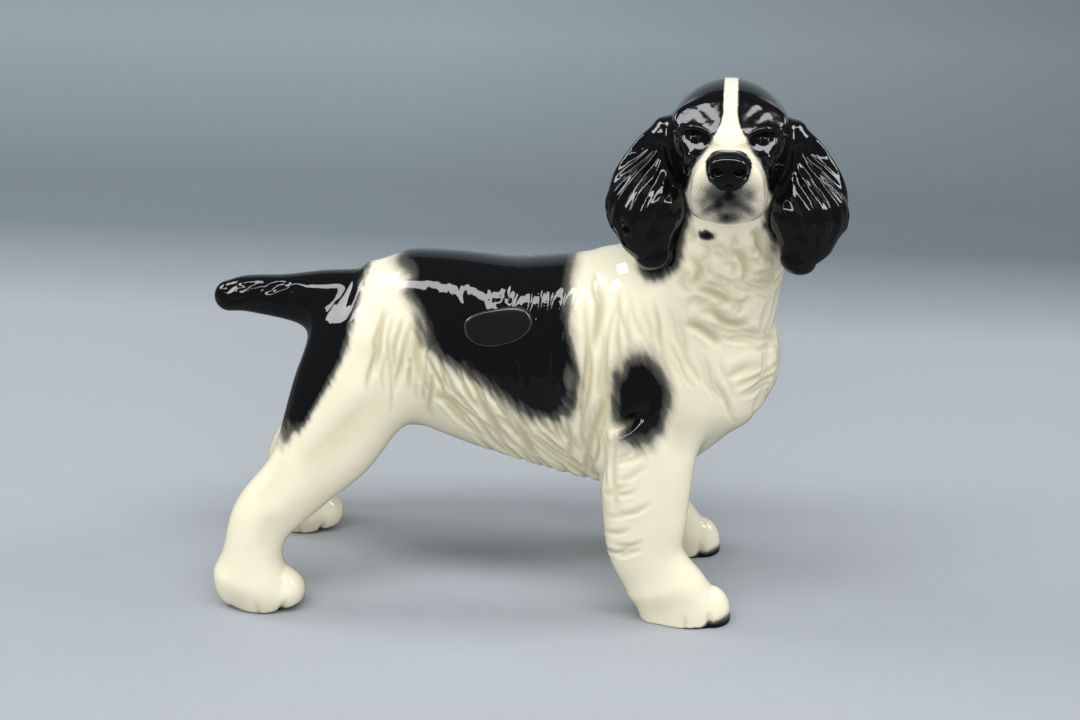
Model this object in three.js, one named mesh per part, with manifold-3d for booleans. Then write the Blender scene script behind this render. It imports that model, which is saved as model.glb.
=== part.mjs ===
// Standing spaniel figurine in glazed earthenware, built as a pottery builds one: nine slip castings
// stuck together with slip at cut joints, and a plain oval label on the right flank.
// Millimetres, +Z up, the dog faces +X and turns its head to its right, towards -Y.

import * as THREE from "three";
import { mergeVertices } from "three/addons/utils/BufferGeometryUtils.js";
import Module from "manifold-3d";

const wasm = await Module();
wasm.setup();

// Casting and assembly
const wall = 4; // thickness that the slip builds up in the mould
const jointGap = 0.3; // slip line between two castings
const airHoleRadius = 3; // hole through the body wall behind each hollow leg
const ventRadius = 2.5; // firing vent in the belly
const ventSetIn = 74; // vent in front of the rump

// Torso, measured on the mid plane
const trunkLength = 149; // from the rump to the breast
const backHeight = 114.3;
const croupDrop = 5; // how far the back falls to the tail
const loinHeight = 55; // underside of the loin
const brisketHeight = 38.5; // lowest point of the chest, between the elbows
const breastHeight = 84; // where the breast stands furthest forward
const rumpHalfWidth = 18.5;
const loinHalfWidth = 22.5;
const ribHalfWidth = 26.5;
const breastHalfWidth = 22;
const rumpRound = 9; // how far the back rounds down behind the croup
const rumpTuck = 26; // underside of the rump above the loin
const haunchTuck = 12; // and of the haunches
const breastRise = 22; // top of the breast above its foremost point
const breastFall = 26; // its underside below that point

// Neck, from the shoulders up to the joint under the chin
const neckRootSetback = 35; // neck's centre line behind the breast, in the shoulders
const neckTopSetback = 17; // and at the head joint
const neckRise = 24.7; // height of the head joint above the back
const neckLean = 5; // how far the neck leans to the side that the head turns to
const neckRootHalfDepth = 33.5;
const neckTopHalfDepth = 19;
const neckRootHalfWidth = 25;
const neckTopHalfWidth = 18.5;

// Head, in its own axes: ahead to the nose, up, and aside to the dog's left ear
const headRise = 20; // skull centre above the head joint
const headLean = 3.5; // skull centre beside the top of the neck
const headPitch = 5; // degrees, nose up
const headYaw = 1.2; // degrees, nose towards the chest side
const skullHalfWidth = 18.5;
const skullHalfHeight = 18;
const skullHalfLength = 21;
const muzzleHalfWidth = 11.6;
const muzzleHalfHeight = 11;
const muzzleReach = 41; // from the skull centre to the lips
const muzzleDrop = 5.4; // muzzle centre under the skull centre
const noseHalfWidth = 6.2;
const noseHalfHeight = 5;
const noseReach = 2.2; // nose tip in front of the lips

// Ears
const earLength = 43;
const earHalfWidth = 12.5;
const earHalfThickness = 9; // where the flap bulges most
const earSplay = 6.5; // how far the flap swings out from its root
const earSwing = 12; // how far the tip hangs in front of the root
const earTurn = 25; // degrees that the flap's outer edge is turned back
const earRootRise = 2; // top of the ear's root above the skull centre

// Tail
const tailLength = 33; // from the rump to the tip
const tailDrop = 16.5; // tail's centre line under the back
const tailRootHalfDepth = 9.5;
const tailTipHalfDepth = 5;

// Forelegs
const foreLegSetback = 39.5; // leg centre behind the breast
const foreLegSpread = 23.5; // paw centre beside the mid plane
const foreLegInset = 10; // leg centre at the shoulder, inside the ribs
const foreLegStagger = -5; // the left forepaw stands this far in front of the right one
const elbowHeight = 52;
const wristHeight = 21;
const forearmHalfDepth = 14;
const forearmHalfWidth = 9.5;
const forePawLength = 29.5;
const forePawHalfWidth = 7.4;
const forePawHeight = 15;
const forePawMiddle = 0.15; // share of its height at which the paw is widest

// Hind legs
const hipSetIn = 18.5; // hip in front of the rump
const hockReach = 33; // hock behind the hip
const hockHeight = 31;
const hindLegSpread = 28;
const hindLegInset = 7;
const hindLegStagger = 2.5; // the left hind paw stands this far in front of the right one
const thighHalfDepth = 19;
const thighHalfWidth = 12;
const kneeSetback = 12; // knee behind the hip
const kneeRise = 25.5; // knee above the hock
const hockHalfDepth = 10.3;
const hockHalfWidth = 8.5;
const hindPawLength = 29;
const hindPawHalfWidth = 8.5;
const hindPawHeight = 15;
const hindPawMiddle = 0.38;

// Coat: its deep locks, pressed in as grooves
const lockDepth = 1.5;
const elbowFoldDepth = 1.7;
const earLockDepth = 1.8;

// Label on the right flank
const labelHalfLength = 11;
const labelHalfHeight = 5.5;
const labelThickness = 0.3;
const labelSetIn = 62; // its middle in front of the rump
const labelAngle = 34; // degrees that its middle lies above the widest part of the flank
const labelTilt = 19; // degrees that its front end is raised

// Facets: sides around a casting, steps along it and rings in a rounded end
const bodySides = 24;
const bodySteps = 22;
const limbSides = 16;
const limbSteps = 11;
const hollowSides = 10;
const hollowSteps = 7;
const lockSides = 4;
const lockSteps = 6;
const domeRings = 2;

const radians = THREE.MathUtils.degToRad;
const mix = THREE.MathUtils.lerp;
const toLeft = new THREE.Vector3(0, 1, 0);
const headToLeft = new THREE.Vector3(1, 0, 0);

function station(x, y, z, wide, deep, keel = 0) {
  return { at: new THREE.Vector3(x, y, z), wide, deep, keel };
}

// Smooth curves through the stations: their centres, and their half width, half depth and keel.
function railsOf(stations) {
  const through = (points) => new THREE.CatmullRomCurve3(points, false, "catmullrom", 0.5);
  return {
    centres: through(stations.map((s) => s.at)),
    sizes: through(stations.map((s) => new THREE.Vector3(s.wide, s.deep, s.keel))),
  };
}

// The point of a ring at an angle from its side axis. Keel narrows the ring below its centre.
function ringPoint(rails, t, angle, side, grow, scale = 1, shift = 0) {
  const along = rails.centres.getTangent(t);
  const across = side.clone().addScaledVector(along, -side.dot(along)).normalize();
  const up = along.clone().cross(across);
  const size = rails.sizes.getPoint(t);
  const wide = (size.x * (1 + size.z * Math.sin(angle)) + grow) * scale;
  const deep = (size.y + grow) * scale;
  return rails.centres
    .getPoint(t)
    .addScaledVector(across, wide * Math.cos(angle))
    .addScaledVector(up, deep * Math.sin(angle))
    .addScaledVector(along, shift);
}

// A closed loft through stations, with both ends rounded off. Grow moves its whole surface out or in.
function loft(stations, { side, startRound, endRound }, sides, steps, grow = 0) {
  const rails = railsOf(stations);
  const start = -(startRound + grow);
  const end = endRound + grow;
  const lift = (ring) => (ring / (domeRings + 1)) * (Math.PI / 2);
  const rows = [];
  for (let k = domeRings; k > 0; k--) rows.push({ t: 0, round: start, angle: lift(k) });
  for (let j = 0; j <= steps; j++) rows.push({ t: j / steps, round: 0, angle: 0 });
  for (let k = 1; k <= domeRings; k++) rows.push({ t: 1, round: end, angle: lift(k) });
  const points = rows.flatMap(({ t, round, angle }) =>
    Array.from({ length: sides }, (_, i) => {
      const turn = (i / sides) * Math.PI * 2;
      return ringPoint(rails, t, turn, side, grow, Math.cos(angle), round * Math.sin(angle));
    }),
  );
  const faces = [];
  for (let j = 0; j < rows.length - 1; j++)
    for (let i = 0; i < sides; i++) {
      const a = j * sides + i;
      const b = j * sides + ((i + 1) % sides);
      faces.push(a, b, b + sides, a, b + sides, a + sides);
    }
  const startPole = points.push(ringPoint(rails, 0, 0, side, grow, 0, start)) - 1;
  const endPole = points.push(ringPoint(rails, 1, 0, side, grow, 0, end)) - 1;
  const lastRow = (rows.length - 1) * sides;
  for (let i = 0; i < sides; i++) {
    const next = (i + 1) % sides;
    faces.push(startPole, next, i, endPole, lastRow + i, lastRow + next);
  }
  return new THREE.BufferGeometry().setFromPoints(points).setIndex(faces);
}

// A cutter along a path on a loft's skin, deepest in its middle and running out at both ends. The path's
// points are a share of the loft's length and degrees round its ring.
function groove(rails, side, path, depth) {
  const runOut = depth * 0.35;
  const line = path.map(([t, degrees], i) => {
    const at = ringPoint(rails, t, radians(degrees), side, 0);
    const radius = i === 0 || i === path.length - 1 ? runOut : depth;
    return station(at.x, at.y, at.z, radius, radius);
  });
  return loft(line, { side, startRound: runOut, endRound: runOut }, lockSides, lockSteps);
}
const otherSide = (path) => path.map(([t, degrees]) => [t, 180 - degrees]);

// Geometry to solid, and solid to geometry.
function solid(geometry) {
  const bare = geometry.clone();
  bare.deleteAttribute("normal");
  bare.deleteAttribute("uv");
  const merged = mergeVertices(bare, 1e-4);
  const vertProperties = new Float32Array(merged.attributes.position.array);
  const triVerts = new Uint32Array(merged.index.array);
  return new wasm.Manifold(new wasm.Mesh({ numProp: 3, vertProperties, triVerts }));
}

function geometryOf(manifold) {
  const mesh = manifold.getMesh();
  return new THREE.BufferGeometry()
    .setAttribute("position", new THREE.BufferAttribute(mesh.vertProperties, 3))
    .setIndex(new THREE.BufferAttribute(mesh.triVerts, 1));
}

// A block that holds everything under a level, or over it where it is turned up.
function blockAt(level, turnedUp = false) {
  const size = 6 * backHeight;
  const centre = level + (turnedUp ? size : -size) / 2;
  return solid(new THREE.BoxGeometry(size, size, size).translate(0, 0, centre));
}

function rod(from, to, radius) {
  const axis = to.clone().sub(from);
  const upright = new THREE.Vector3(0, 1, 0);
  const turn = new THREE.Quaternion().setFromUnitVectors(upright, axis.clone().normalize());
  const middle = from.clone().addScaledVector(axis, 0.5);
  return solid(
    new THREE.CylinderGeometry(radius, radius, axis.length(), hollowSides)
      .applyQuaternion(turn)
      .translate(middle.x, middle.y, middle.z),
  );
}

// Torso: each station lies a share of the way from rump to breast, between its top and bottom lines
const rumpX = -trunkLength / 2;
const chestX = trunkLength / 2;
function torsoStation(share, top, bottom, wide, keel) {
  return station(mix(rumpX, chestX, share), 0, (top + bottom) / 2, wide, (top - bottom) / 2, keel);
}
function breastStation(share, rise, fall, wide) {
  const top = breastHeight + breastRise * rise;
  return torsoStation(share, top, breastHeight - breastFall * fall, breastHalfWidth * wide, 0);
}
const torsoShape = { side: toLeft, startRound: trunkLength * 0.03, endRound: trunkLength * 0.02 };
const torsoLine = [
  torsoStation(0.03, backHeight - croupDrop - rumpRound, loinHeight + rumpTuck, rumpHalfWidth * 0.55, 0),
  torsoStation(0.08, backHeight - croupDrop, loinHeight + haunchTuck, rumpHalfWidth * 0.92, 0.02),
  torsoStation(0.17, backHeight - 0.2, loinHeight + 2, (rumpHalfWidth + loinHalfWidth) / 2, 0.04),
  torsoStation(0.28, backHeight + 0.7, loinHeight - 0.5, loinHalfWidth, 0.06),
  torsoStation(0.42, backHeight - 0.5, loinHeight - 7.5, ribHalfWidth - 1, 0.08),
  torsoStation(0.56, backHeight + 1.5, brisketHeight + 2.5, ribHalfWidth, 0.1),
  torsoStation(0.65, backHeight + 3.5, brisketHeight, ribHalfWidth, 0.1),
  torsoStation(0.77, backHeight, brisketHeight + 6.5, ribHalfWidth - 0.5, 0.08),
  torsoStation(0.88, breastHeight + breastRise, breastHeight - breastFall, breastHalfWidth, 0.05),
  breastStation(0.94, 0.73, 0.65, 0.75),
  breastStation(0.98, 0.36, 0.35, 0.42),
];
const torsoRails = railsOf(torsoLine);

// How far along the torso's curve a given x lies, found by halving.
function torsoShare(x) {
  let low = 0;
  let high = 1;
  for (let i = 0; i < 30; i++) {
    const half = (low + high) / 2;
    if (torsoRails.centres.getPoint(half).x < x) low = half;
    else high = half;
  }
  return low;
}
const torsoMiddle = (x) => torsoRails.centres.getPoint(torsoShare(x)).z;

// Neck: rise 0 is in the shoulders and rise 1 at the head joint
const headJoint = backHeight + neckRise;
const neckRootX = chestX - neckRootSetback;
const neckTopX = chestX - neckTopSetback;
function neckStation(rise, ahead) {
  return station(
    mix(neckRootX, neckTopX, ahead),
    -neckLean * rise,
    mix(torsoMiddle(neckRootX), headJoint, rise),
    mix(neckRootHalfWidth, neckTopHalfWidth, rise),
    mix(neckRootHalfDepth, neckTopHalfDepth, rise),
  );
}
const neckShape = { side: toLeft, startRound: 12, endRound: 5 };
const neckLine = [
  neckStation(0, 0),
  neckStation(0.38, 0.36),
  neckStation(0.68, 0.72),
  neckStation(1, 1),
  neckStation(1.2, 1.04),
];

const neckRails = railsOf(neckLine);

// Deep locks of the left side's coat. On the torso each point is a share of the way from rump to breast, and
// degrees above the widest part; on the neck it is a share of the neck's curve. The right side mirrors them.
const flankLocks = [
  [[0.239, 30], [0.244, 15], [0.24, 5], [0.25, -13]], // front of the thigh
  [[0.276, -21], [0.304, -21], [0.326, -28], [0.341, -40]], // belly, from the loin forward
  [[0.366, -13], [0.39, -20], [0.407, -31], [0.421, -49]],
  [[0.443, -18], [0.463, -29], [0.477, -43], [0.483, -54]],
  [[0.615, 70], [0.616, 57], [0.627, 47], [0.621, 33], [0.609, 22]], // over the withers
  [[0.556, 34], [0.566, 23], [0.582, 10], [0.573, -7], [0.568, -20]], // behind the shoulder
  [[0.652, 13], [0.646, 1], [0.628, -10], [0.61, -23], [0.594, -40]],
];
const chestLocks = [
  [[0.447, 6], [0.455, -5], [0.442, -19], [0.438, -27]], // side of the chest, downwards
  [[0.382, -3], [0.375, -14], [0.346, -25], [0.344, -37], [0.351, -45]],
  [[0.292, 3], [0.294, -8], [0.269, -19], [0.24, -25]],
  [[0.565, 18], [0.535, 9], [0.496, 8], [0.458, 10]], // throat
  [[0.595, -13], [0.628, -15], [0.608, -24], [0.555, -30], [0.502, -26]],
  [[0.722, -24], [0.702, -33], [0.658, -39], [0.624, -50]],
];
const elbowFold = [[0.26, -36], [0.25, -24], [0.22, -12], [0.16, 0]]; // on the leg's curve

function bodyLocks() {
  const onTorso = flankLocks.map((path) =>
    path.map(([share, degrees]) => [torsoShare(mix(rumpX, chestX, share)), degrees]),
  );
  const cuts = [];
  for (const path of onTorso) cuts.push([torsoRails, path], [torsoRails, otherSide(path)]);
  for (const path of chestLocks) cuts.push([neckRails, path], [neckRails, otherSide(path)]);
  return cuts.map(([rails, path]) => solid(groove(rails, toLeft, path, lockDepth)));
}

function bodySkin(grow, sides, steps) {
  const torso = solid(loft(torsoLine, torsoShape, sides, steps, grow));
  return torso.add(solid(loft(neckLine, neckShape, sides, Math.ceil(steps / 2), grow)));
}
const bodyClear = bodySkin(jointGap, bodySides, bodySteps);

// Head
const headPose = new THREE.Matrix4()
  .makeTranslation(neckTopX - 0.4, -neckLean - headLean, headJoint + headRise)
  .multiply(new THREE.Matrix4().makeRotationZ(radians(headYaw)))
  .multiply(new THREE.Matrix4().makeRotationX(radians(-headPitch)));
function headStation(ahead, up, wide, deep, aside = 0) {
  return station(aside, -ahead, up, wide, deep);
}
const skullShape = { side: headToLeft, startRound: skullHalfLength * 0.1, endRound: skullHalfLength * 0.2 };
const skullLine = [
  headStation(-skullHalfLength * 0.9, -1, skullHalfWidth * 0.46, skullHalfHeight * 0.48),
  headStation(-skullHalfLength * 0.68, -0.5, skullHalfWidth * 0.77, skullHalfHeight * 0.78),
  headStation(-skullHalfLength * 0.3, 0, skullHalfWidth * 0.97, skullHalfHeight * 0.97),
  headStation(skullHalfLength * 0.15, 0, skullHalfWidth, skullHalfHeight),
  headStation(skullHalfLength * 0.55, -1, skullHalfWidth * 0.89, skullHalfHeight * 0.87),
  headStation(skullHalfLength * 0.8, -3, skullHalfWidth * 0.7, skullHalfHeight * 0.66),
];
const muzzleShape = { side: headToLeft, startRound: 4, endRound: 3 };
const lips = muzzleReach - muzzleShape.endRound;
const muzzleLine = [
  headStation(skullHalfLength * 0.38, 1.5 - muzzleDrop, muzzleHalfWidth + 2.4, muzzleHalfHeight + 1.5),
  headStation(muzzleReach - 22, -muzzleDrop, muzzleHalfWidth, muzzleHalfHeight),
  headStation(muzzleReach - 11, -muzzleDrop - 0.5, muzzleHalfWidth, muzzleHalfHeight),
  headStation(lips, -muzzleDrop - 0.7, muzzleHalfWidth - 0.8, muzzleHalfHeight - 1),
];
const noseShape = { side: headToLeft, startRound: 2, endRound: 2 };
const noseRise = muzzleHalfHeight - muzzleDrop - noseHalfHeight; // its top lies level with the muzzle's
const noseTip = muzzleReach + noseReach - noseShape.endRound;
const noseLine = [
  headStation(muzzleReach - 6, noseRise, noseHalfWidth * 0.9, noseHalfHeight * 0.9),
  headStation(muzzleReach - 2, noseRise, noseHalfWidth, noseHalfHeight),
  headStation(noseTip, noseRise, noseHalfWidth * 0.85, noseHalfHeight * 0.85),
];
function headLoft(line, shape, sides, steps, grow) {
  return solid(loft(line, shape, sides, steps, grow).applyMatrix4(headPose));
}
// The head's casting takes in the top of the neck, down to the head joint.
function headSkin(grow) {
  return headLoft(skullLine, skullShape, bodySides, limbSteps, grow)
    .add(headLoft(muzzleLine, muzzleShape, limbSides, limbSteps, grow))
    .add(headLoft(noseLine, noseShape, hollowSides, hollowSteps, grow))
    .add(solid(loft(neckLine, neckShape, bodySides, limbSteps, grow)));
}
const headClear = headSkin(jointGap);

function makeHead() {
  const skullHollow = headLoft(skullLine, skullShape, hollowSides, hollowSteps, -wall);
  const neckHollow = solid(loft(neckLine, neckShape, hollowSides, hollowSteps, -wall));
  return headSkin(0).subtract(skullHollow.add(neckHollow)).subtract(blockAt(headJoint + jointGap));
}

// Ears: side is 1 for the dog's left ear and -1 for its right. Each lock on the front of the flap runs
// through points given as a share of its length and a share of its half width, outwards from its middle.
const earLocks = [
  [[0.06, -0.1], [0.2, 0.15], [0.35, 0.45], [0.5, 0.72]],
  [[0.12, -0.35], [0.3, -0.15], [0.48, 0.1], [0.66, 0.38], [0.82, 0.5]],
  [[0.18, -0.5], [0.35, -0.5], [0.5, -0.3], [0.68, -0.05], [0.85, 0.05], [0.95, 0]],
  [[0.3, -0.72], [0.45, -0.78], [0.6, -0.62], [0.75, -0.42], [0.9, -0.4]],
];
function makeEar(side) {
  const flap = (down, out, wide, thick) => {
    const aside = (skullHalfWidth + earSplay * out) * side;
    return headStation(earSwing * down - 2, earRootRise - earLength * down, wide, thick, aside);
  };
  const line = [
    flap(0, 0, earHalfWidth * 0.4, earHalfThickness * 0.56),
    flap(0.2, 0.5, earHalfWidth * 0.77, earHalfThickness * 0.78),
    flap(0.45, 0.93, earHalfWidth, earHalfThickness),
    flap(0.69, 0.86, earHalfWidth * 0.82, earHalfThickness * 0.78),
    flap(0.86, 0.55, earHalfWidth * 0.48, earHalfThickness * 0.48),
  ];
  const across = headToLeft.clone().applyAxisAngle(new THREE.Vector3(0, 0, 1), radians(earTurn * side));
  const shape = { side: across, startRound: 4, endRound: earLength * 0.11 };
  let ear = headLoft(line, shape, limbSides, limbSteps, 0).subtract(headClear).subtract(bodyClear);
  for (const lock of earLocks) {
    const path = lock.map(([t, out]) => [t, THREE.MathUtils.radToDeg(Math.acos(out * side))]);
    ear = ear.subtract(solid(groove(railsOf(line), across, path, earLockDepth).applyMatrix4(headPose)));
  }
  return ear;
}

// Tail
const tailHeight = backHeight - tailDrop;
const tailShape = { side: toLeft, startRound: 5, endRound: tailTipHalfDepth };
const tailLine = [
  station(rumpX + 16, 0, tailHeight, tailRootHalfDepth - 0.5, tailRootHalfDepth + 0.5),
  station(rumpX + 2, 0, tailHeight - 0.5, tailRootHalfDepth - 1, tailRootHalfDepth),
  station(rumpX - tailLength * 0.32, 0, tailHeight, tailTipHalfDepth + 2, tailTipHalfDepth + 2.2),
  station(rumpX - tailLength * 0.65, 0, tailHeight + 0.5, tailTipHalfDepth + 1, tailTipHalfDepth + 1),
  station(rumpX - tailLength + tailShape.endRound, 0, tailHeight - 0.5, tailTipHalfDepth, tailTipHalfDepth),
];
const tailSkin = (grow) => solid(loft(tailLine, tailShape, limbSides, limbSteps, grow));
const tailClear = tailSkin(jointGap);

// A paw from heel to toes. Its loft dips under the ground, where the sole is cut flat.
const pawShape = { side: toLeft, startRound: 4, endRound: 5 };
function pawLine(heel, y, length, halfWidth, height, middle) {
  const ring = (x, top, wide) => station(x, y, height * middle, halfWidth * wide, height * (top - middle));
  return [
    ring(heel + pawShape.startRound, 0.8, 0.72),
    ring(heel + length * 0.4, 1.06, 0.95),
    ring(heel + length * 0.64, 1.05, 1),
    ring(heel + length - pawShape.endRound, 0.83, 0.8),
  ];
}

// Legs: side is 1 for the dog's left legs and -1 for its right
const legShape = { side: toLeft, startRound: 8, endRound: 5 };
function foreLeg(side) {
  const foreLegX = chestX - foreLegSetback;
  const shoulder = torsoMiddle(foreLegX);
  const inner = ribHalfWidth - foreLegInset;
  const joint = (ahead, down, z, wide, deep) => {
    const stagger = side > 0 ? foreLegStagger * down : 0;
    return station(foreLegX + ahead + stagger, mix(inner, foreLegSpread, down) * side, z, wide, deep);
  };
  const ankle = forePawHeight * 0.62;
  const leg = [
    joint(1, 0, shoulder + 4, forearmHalfWidth - 1.5, forearmHalfDepth),
    joint(0.5, 0.25, (shoulder + elbowHeight) / 2 + 7, forearmHalfWidth, forearmHalfDepth + 2),
    joint(-0.5, 0.6, elbowHeight, forearmHalfWidth + 0.5, forearmHalfDepth + 1),
    joint(-0.5, 0.82, (elbowHeight + wristHeight) / 2, forearmHalfWidth, forearmHalfDepth),
    joint(1.5, 0.95, wristHeight, forearmHalfWidth - 1.3, forearmHalfDepth - 2),
    joint(5.5, 1, ankle, forePawHalfWidth - 0.2, forearmHalfDepth - 3),
  ];
  const heel = foreLegX - 1.5 + (side > 0 ? foreLegStagger : 0);
  const y = foreLegSpread * side;
  return { leg, paw: pawLine(heel, y, forePawLength, forePawHalfWidth, forePawHeight, forePawMiddle) };
}
function hindLeg(side) {
  const hipX = rumpX + hipSetIn;
  const hockX = hipX - hockReach;
  const hip = torsoMiddle(hipX);
  const inner = rumpHalfWidth - hindLegInset;
  const joint = (x, down, z, wide, deep) => {
    const stagger = side > 0 ? hindLegStagger * down : 0;
    return station(x + stagger, mix(inner, hindLegSpread, down) * side, z, wide, deep);
  };
  const ankle = hindPawHeight * 0.6;
  const leg = [
    joint(hipX + 2, 0, hip, thighHalfWidth - 2.5, thighHalfDepth - 2),
    joint(hipX - 3.5, 0.16, hip - 12, thighHalfWidth, thighHalfDepth),
    joint(hipX - kneeSetback, 0.36, hockHeight + kneeRise, thighHalfWidth, thighHalfDepth - 2.5),
    joint(hockX + 11.5, 0.61, hockHeight + 12.5, hockHalfWidth + 1.5, hockHalfDepth + 1.8),
    joint(hockX, 0.83, hockHeight, hockHalfWidth, hockHalfDepth),
    joint(hockX - 4.5, 0.94, hockHeight * 0.62, hockHalfWidth, hockHalfDepth - 0.3),
    joint(hockX - 6.5, 1, ankle, hindPawHalfWidth - 0.4, hockHalfDepth - 0.3),
  ];
  const heel = hockX - 16 + (side > 0 ? hindLegStagger : 0);
  const y = hindLegSpread * side;
  return { leg, paw: pawLine(heel, y, hindPawLength, hindPawHalfWidth, hindPawHeight, hindPawMiddle) };
}
const legs = {
  left_foreleg: { ...foreLeg(1), fold: elbowFold },
  right_foreleg: { ...foreLeg(-1), fold: otherSide(elbowFold) },
  left_hind_leg: hindLeg(1),
  right_hind_leg: hindLeg(-1),
};
function makeLeg({ leg, paw, fold }) {
  const foot = solid(loft(paw, pawShape, limbSides, limbSteps));
  const skin = solid(loft(leg, legShape, limbSides, limbSteps)).add(foot);
  const hollow = solid(loft(leg, legShape, hollowSides, hollowSteps, -wall));
  const casting = skin.subtract(hollow).subtract(blockAt(0)).subtract(bodyClear).subtract(tailClear);
  return fold ? casting.subtract(solid(groove(railsOf(leg), toLeft, fold, elbowFoldDepth))) : casting;
}

// Body: the torso and neck as one hollow casting, open at the head joint, with its air holes and vent
function makeBody() {
  let body = bodySkin(0, bodySides, bodySteps).subtract(bodySkin(-wall, hollowSides, hollowSteps));
  for (const { leg } of Object.values(legs)) body = body.subtract(rod(leg[0].at, leg[2].at, airHoleRadius));
  const vent = new THREE.Vector3(rumpX + ventSetIn, 0, 0);
  body = body.subtract(rod(vent, vent.clone().setZ(torsoMiddle(vent.x)), ventRadius));
  for (const lock of bodyLocks()) body = body.subtract(lock);
  return body.subtract(blockAt(headJoint, true));
}

// Label: an oval that follows the flank, bent to the torso's own curve
function makeLabel() {
  const spokes = 24;
  const rings = 3;
  const labelX = rumpX + labelSetIn;
  const share = torsoShare(labelX);
  const reach = torsoRails.sizes.getPoint(share);
  const radius = Math.hypot(reach.x * Math.sin(radians(labelAngle)), reach.y * Math.cos(radians(labelAngle)));
  const point = (ring, spoke, grow) => {
    const turn = (spoke / spokes) * Math.PI * 2;
    const long = labelHalfLength * (ring / rings) * Math.cos(turn);
    const high = labelHalfHeight * (ring / rings) * Math.sin(turn);
    const along = long * Math.cos(radians(labelTilt)) - high * Math.sin(radians(labelTilt));
    const around = long * Math.sin(radians(labelTilt)) + high * Math.cos(radians(labelTilt));
    const angle = Math.PI - radians(labelAngle) - around / radius;
    return ringPoint(torsoRails, torsoShare(labelX + along), angle, toLeft, grow);
  };
  const points = [];
  for (const grow of [jointGap, jointGap + labelThickness]) {
    points.push(point(0, 0, grow));
    for (let ring = 1; ring <= rings; ring++)
      for (let s = 0; s < spokes; s++) points.push(point(ring, s, grow));
  }
  const sheet = 1 + rings * spokes;
  const at = (ring, spoke) => 1 + (ring - 1) * spokes + (spoke % spokes);
  const faces = [];
  const both = (a, b, c) => faces.push(a, c, b, sheet + a, sheet + b, sheet + c);
  for (let s = 0; s < spokes; s++) {
    both(0, at(1, s), at(1, s + 1));
    for (let ring = 1; ring < rings; ring++) {
      both(at(ring, s), at(ring + 1, s), at(ring + 1, s + 1));
      both(at(ring, s), at(ring + 1, s + 1), at(ring, s + 1));
    }
    const [a, b] = [at(rings, s), at(rings, s + 1)];
    faces.push(a, b, sheet + b, a, sheet + b, sheet + a);
  }
  return solid(new THREE.BufferGeometry().setFromPoints(points).setIndex(faces));
}

const creamGlaze = new THREE.MeshStandardMaterial({ color: 0xeae6d2, roughness: 0.12, metalness: 0 });
const blackGlaze = new THREE.MeshStandardMaterial({ color: 0x141416, roughness: 0.1, metalness: 0 });
const labelFilm = new THREE.MeshStandardMaterial({ color: 0x26262a, roughness: 0.35, metalness: 0 });

const figurine = new THREE.Group();
function piece(name, manifold, material) {
  const mesh = new THREE.Mesh(geometryOf(manifold), material);
  mesh.name = name;
  figurine.add(mesh);
}
piece("body", makeBody(), creamGlaze);
piece("head", makeHead(), blackGlaze);
piece("left_ear", makeEar(1), blackGlaze);
piece("right_ear", makeEar(-1), blackGlaze);
piece("tail", tailSkin(0).subtract(bodyClear), blackGlaze);
for (const [name, lines] of Object.entries(legs)) piece(name, makeLeg(lines), creamGlaze);
piece("flank_label", makeLabel(), labelFilm);

// The figure stands on the ground, with its origin under the middle of its outline.
const middle = new THREE.Box3().setFromObject(figurine).getCenter(new THREE.Vector3());
figurine.position.set(-middle.x, -middle.y, 0);

export default figurine;
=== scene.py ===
# Standing spaniel in glazed earthenware: nine slip castings luted into one skin, and a plain oval label.
# The sculptor's axes are millimetres: x towards the breast, y to the dog's left, z up from the ground.
import bpy
import numpy as np
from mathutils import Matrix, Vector


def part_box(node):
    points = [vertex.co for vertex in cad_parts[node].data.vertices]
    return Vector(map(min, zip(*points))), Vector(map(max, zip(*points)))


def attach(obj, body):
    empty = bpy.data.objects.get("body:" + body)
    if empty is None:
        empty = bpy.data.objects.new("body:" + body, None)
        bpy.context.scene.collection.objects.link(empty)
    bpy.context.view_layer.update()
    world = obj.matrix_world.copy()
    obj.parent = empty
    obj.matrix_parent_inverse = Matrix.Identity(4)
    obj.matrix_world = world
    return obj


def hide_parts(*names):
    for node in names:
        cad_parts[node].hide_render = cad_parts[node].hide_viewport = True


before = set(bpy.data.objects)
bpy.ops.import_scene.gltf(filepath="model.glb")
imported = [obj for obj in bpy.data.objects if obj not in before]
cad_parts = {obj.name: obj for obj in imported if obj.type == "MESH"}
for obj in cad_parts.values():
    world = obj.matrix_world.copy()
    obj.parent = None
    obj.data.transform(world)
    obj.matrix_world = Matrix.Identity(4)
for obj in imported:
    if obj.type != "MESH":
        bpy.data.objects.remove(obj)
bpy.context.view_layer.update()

tailLow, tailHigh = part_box("tail")
tailTipX = -107.44  # the tail's tip in the sculptor's axes
frameShift = np.array((tailLow.x * 1000 - tailTipX, (tailLow.y + tailHigh.y) * 500, 0.0))


# Sculptor's millimetres to the frame's metres.
def toFrame(points):
    return (np.asarray(points, float) + frameShift) / 1000


# Rows scaled to a length of 1.
def unit(rows):
    return rows / np.maximum(np.linalg.norm(rows, axis=-1, keepdims=True), 1e-9)


# Rises from 0 to 1 between low and high, level at both ends.
def softStep(value, low, high):
    share = np.clip((value - low) / (high - low), 0, 1)
    return share * share * (3 - 2 * share)


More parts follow.
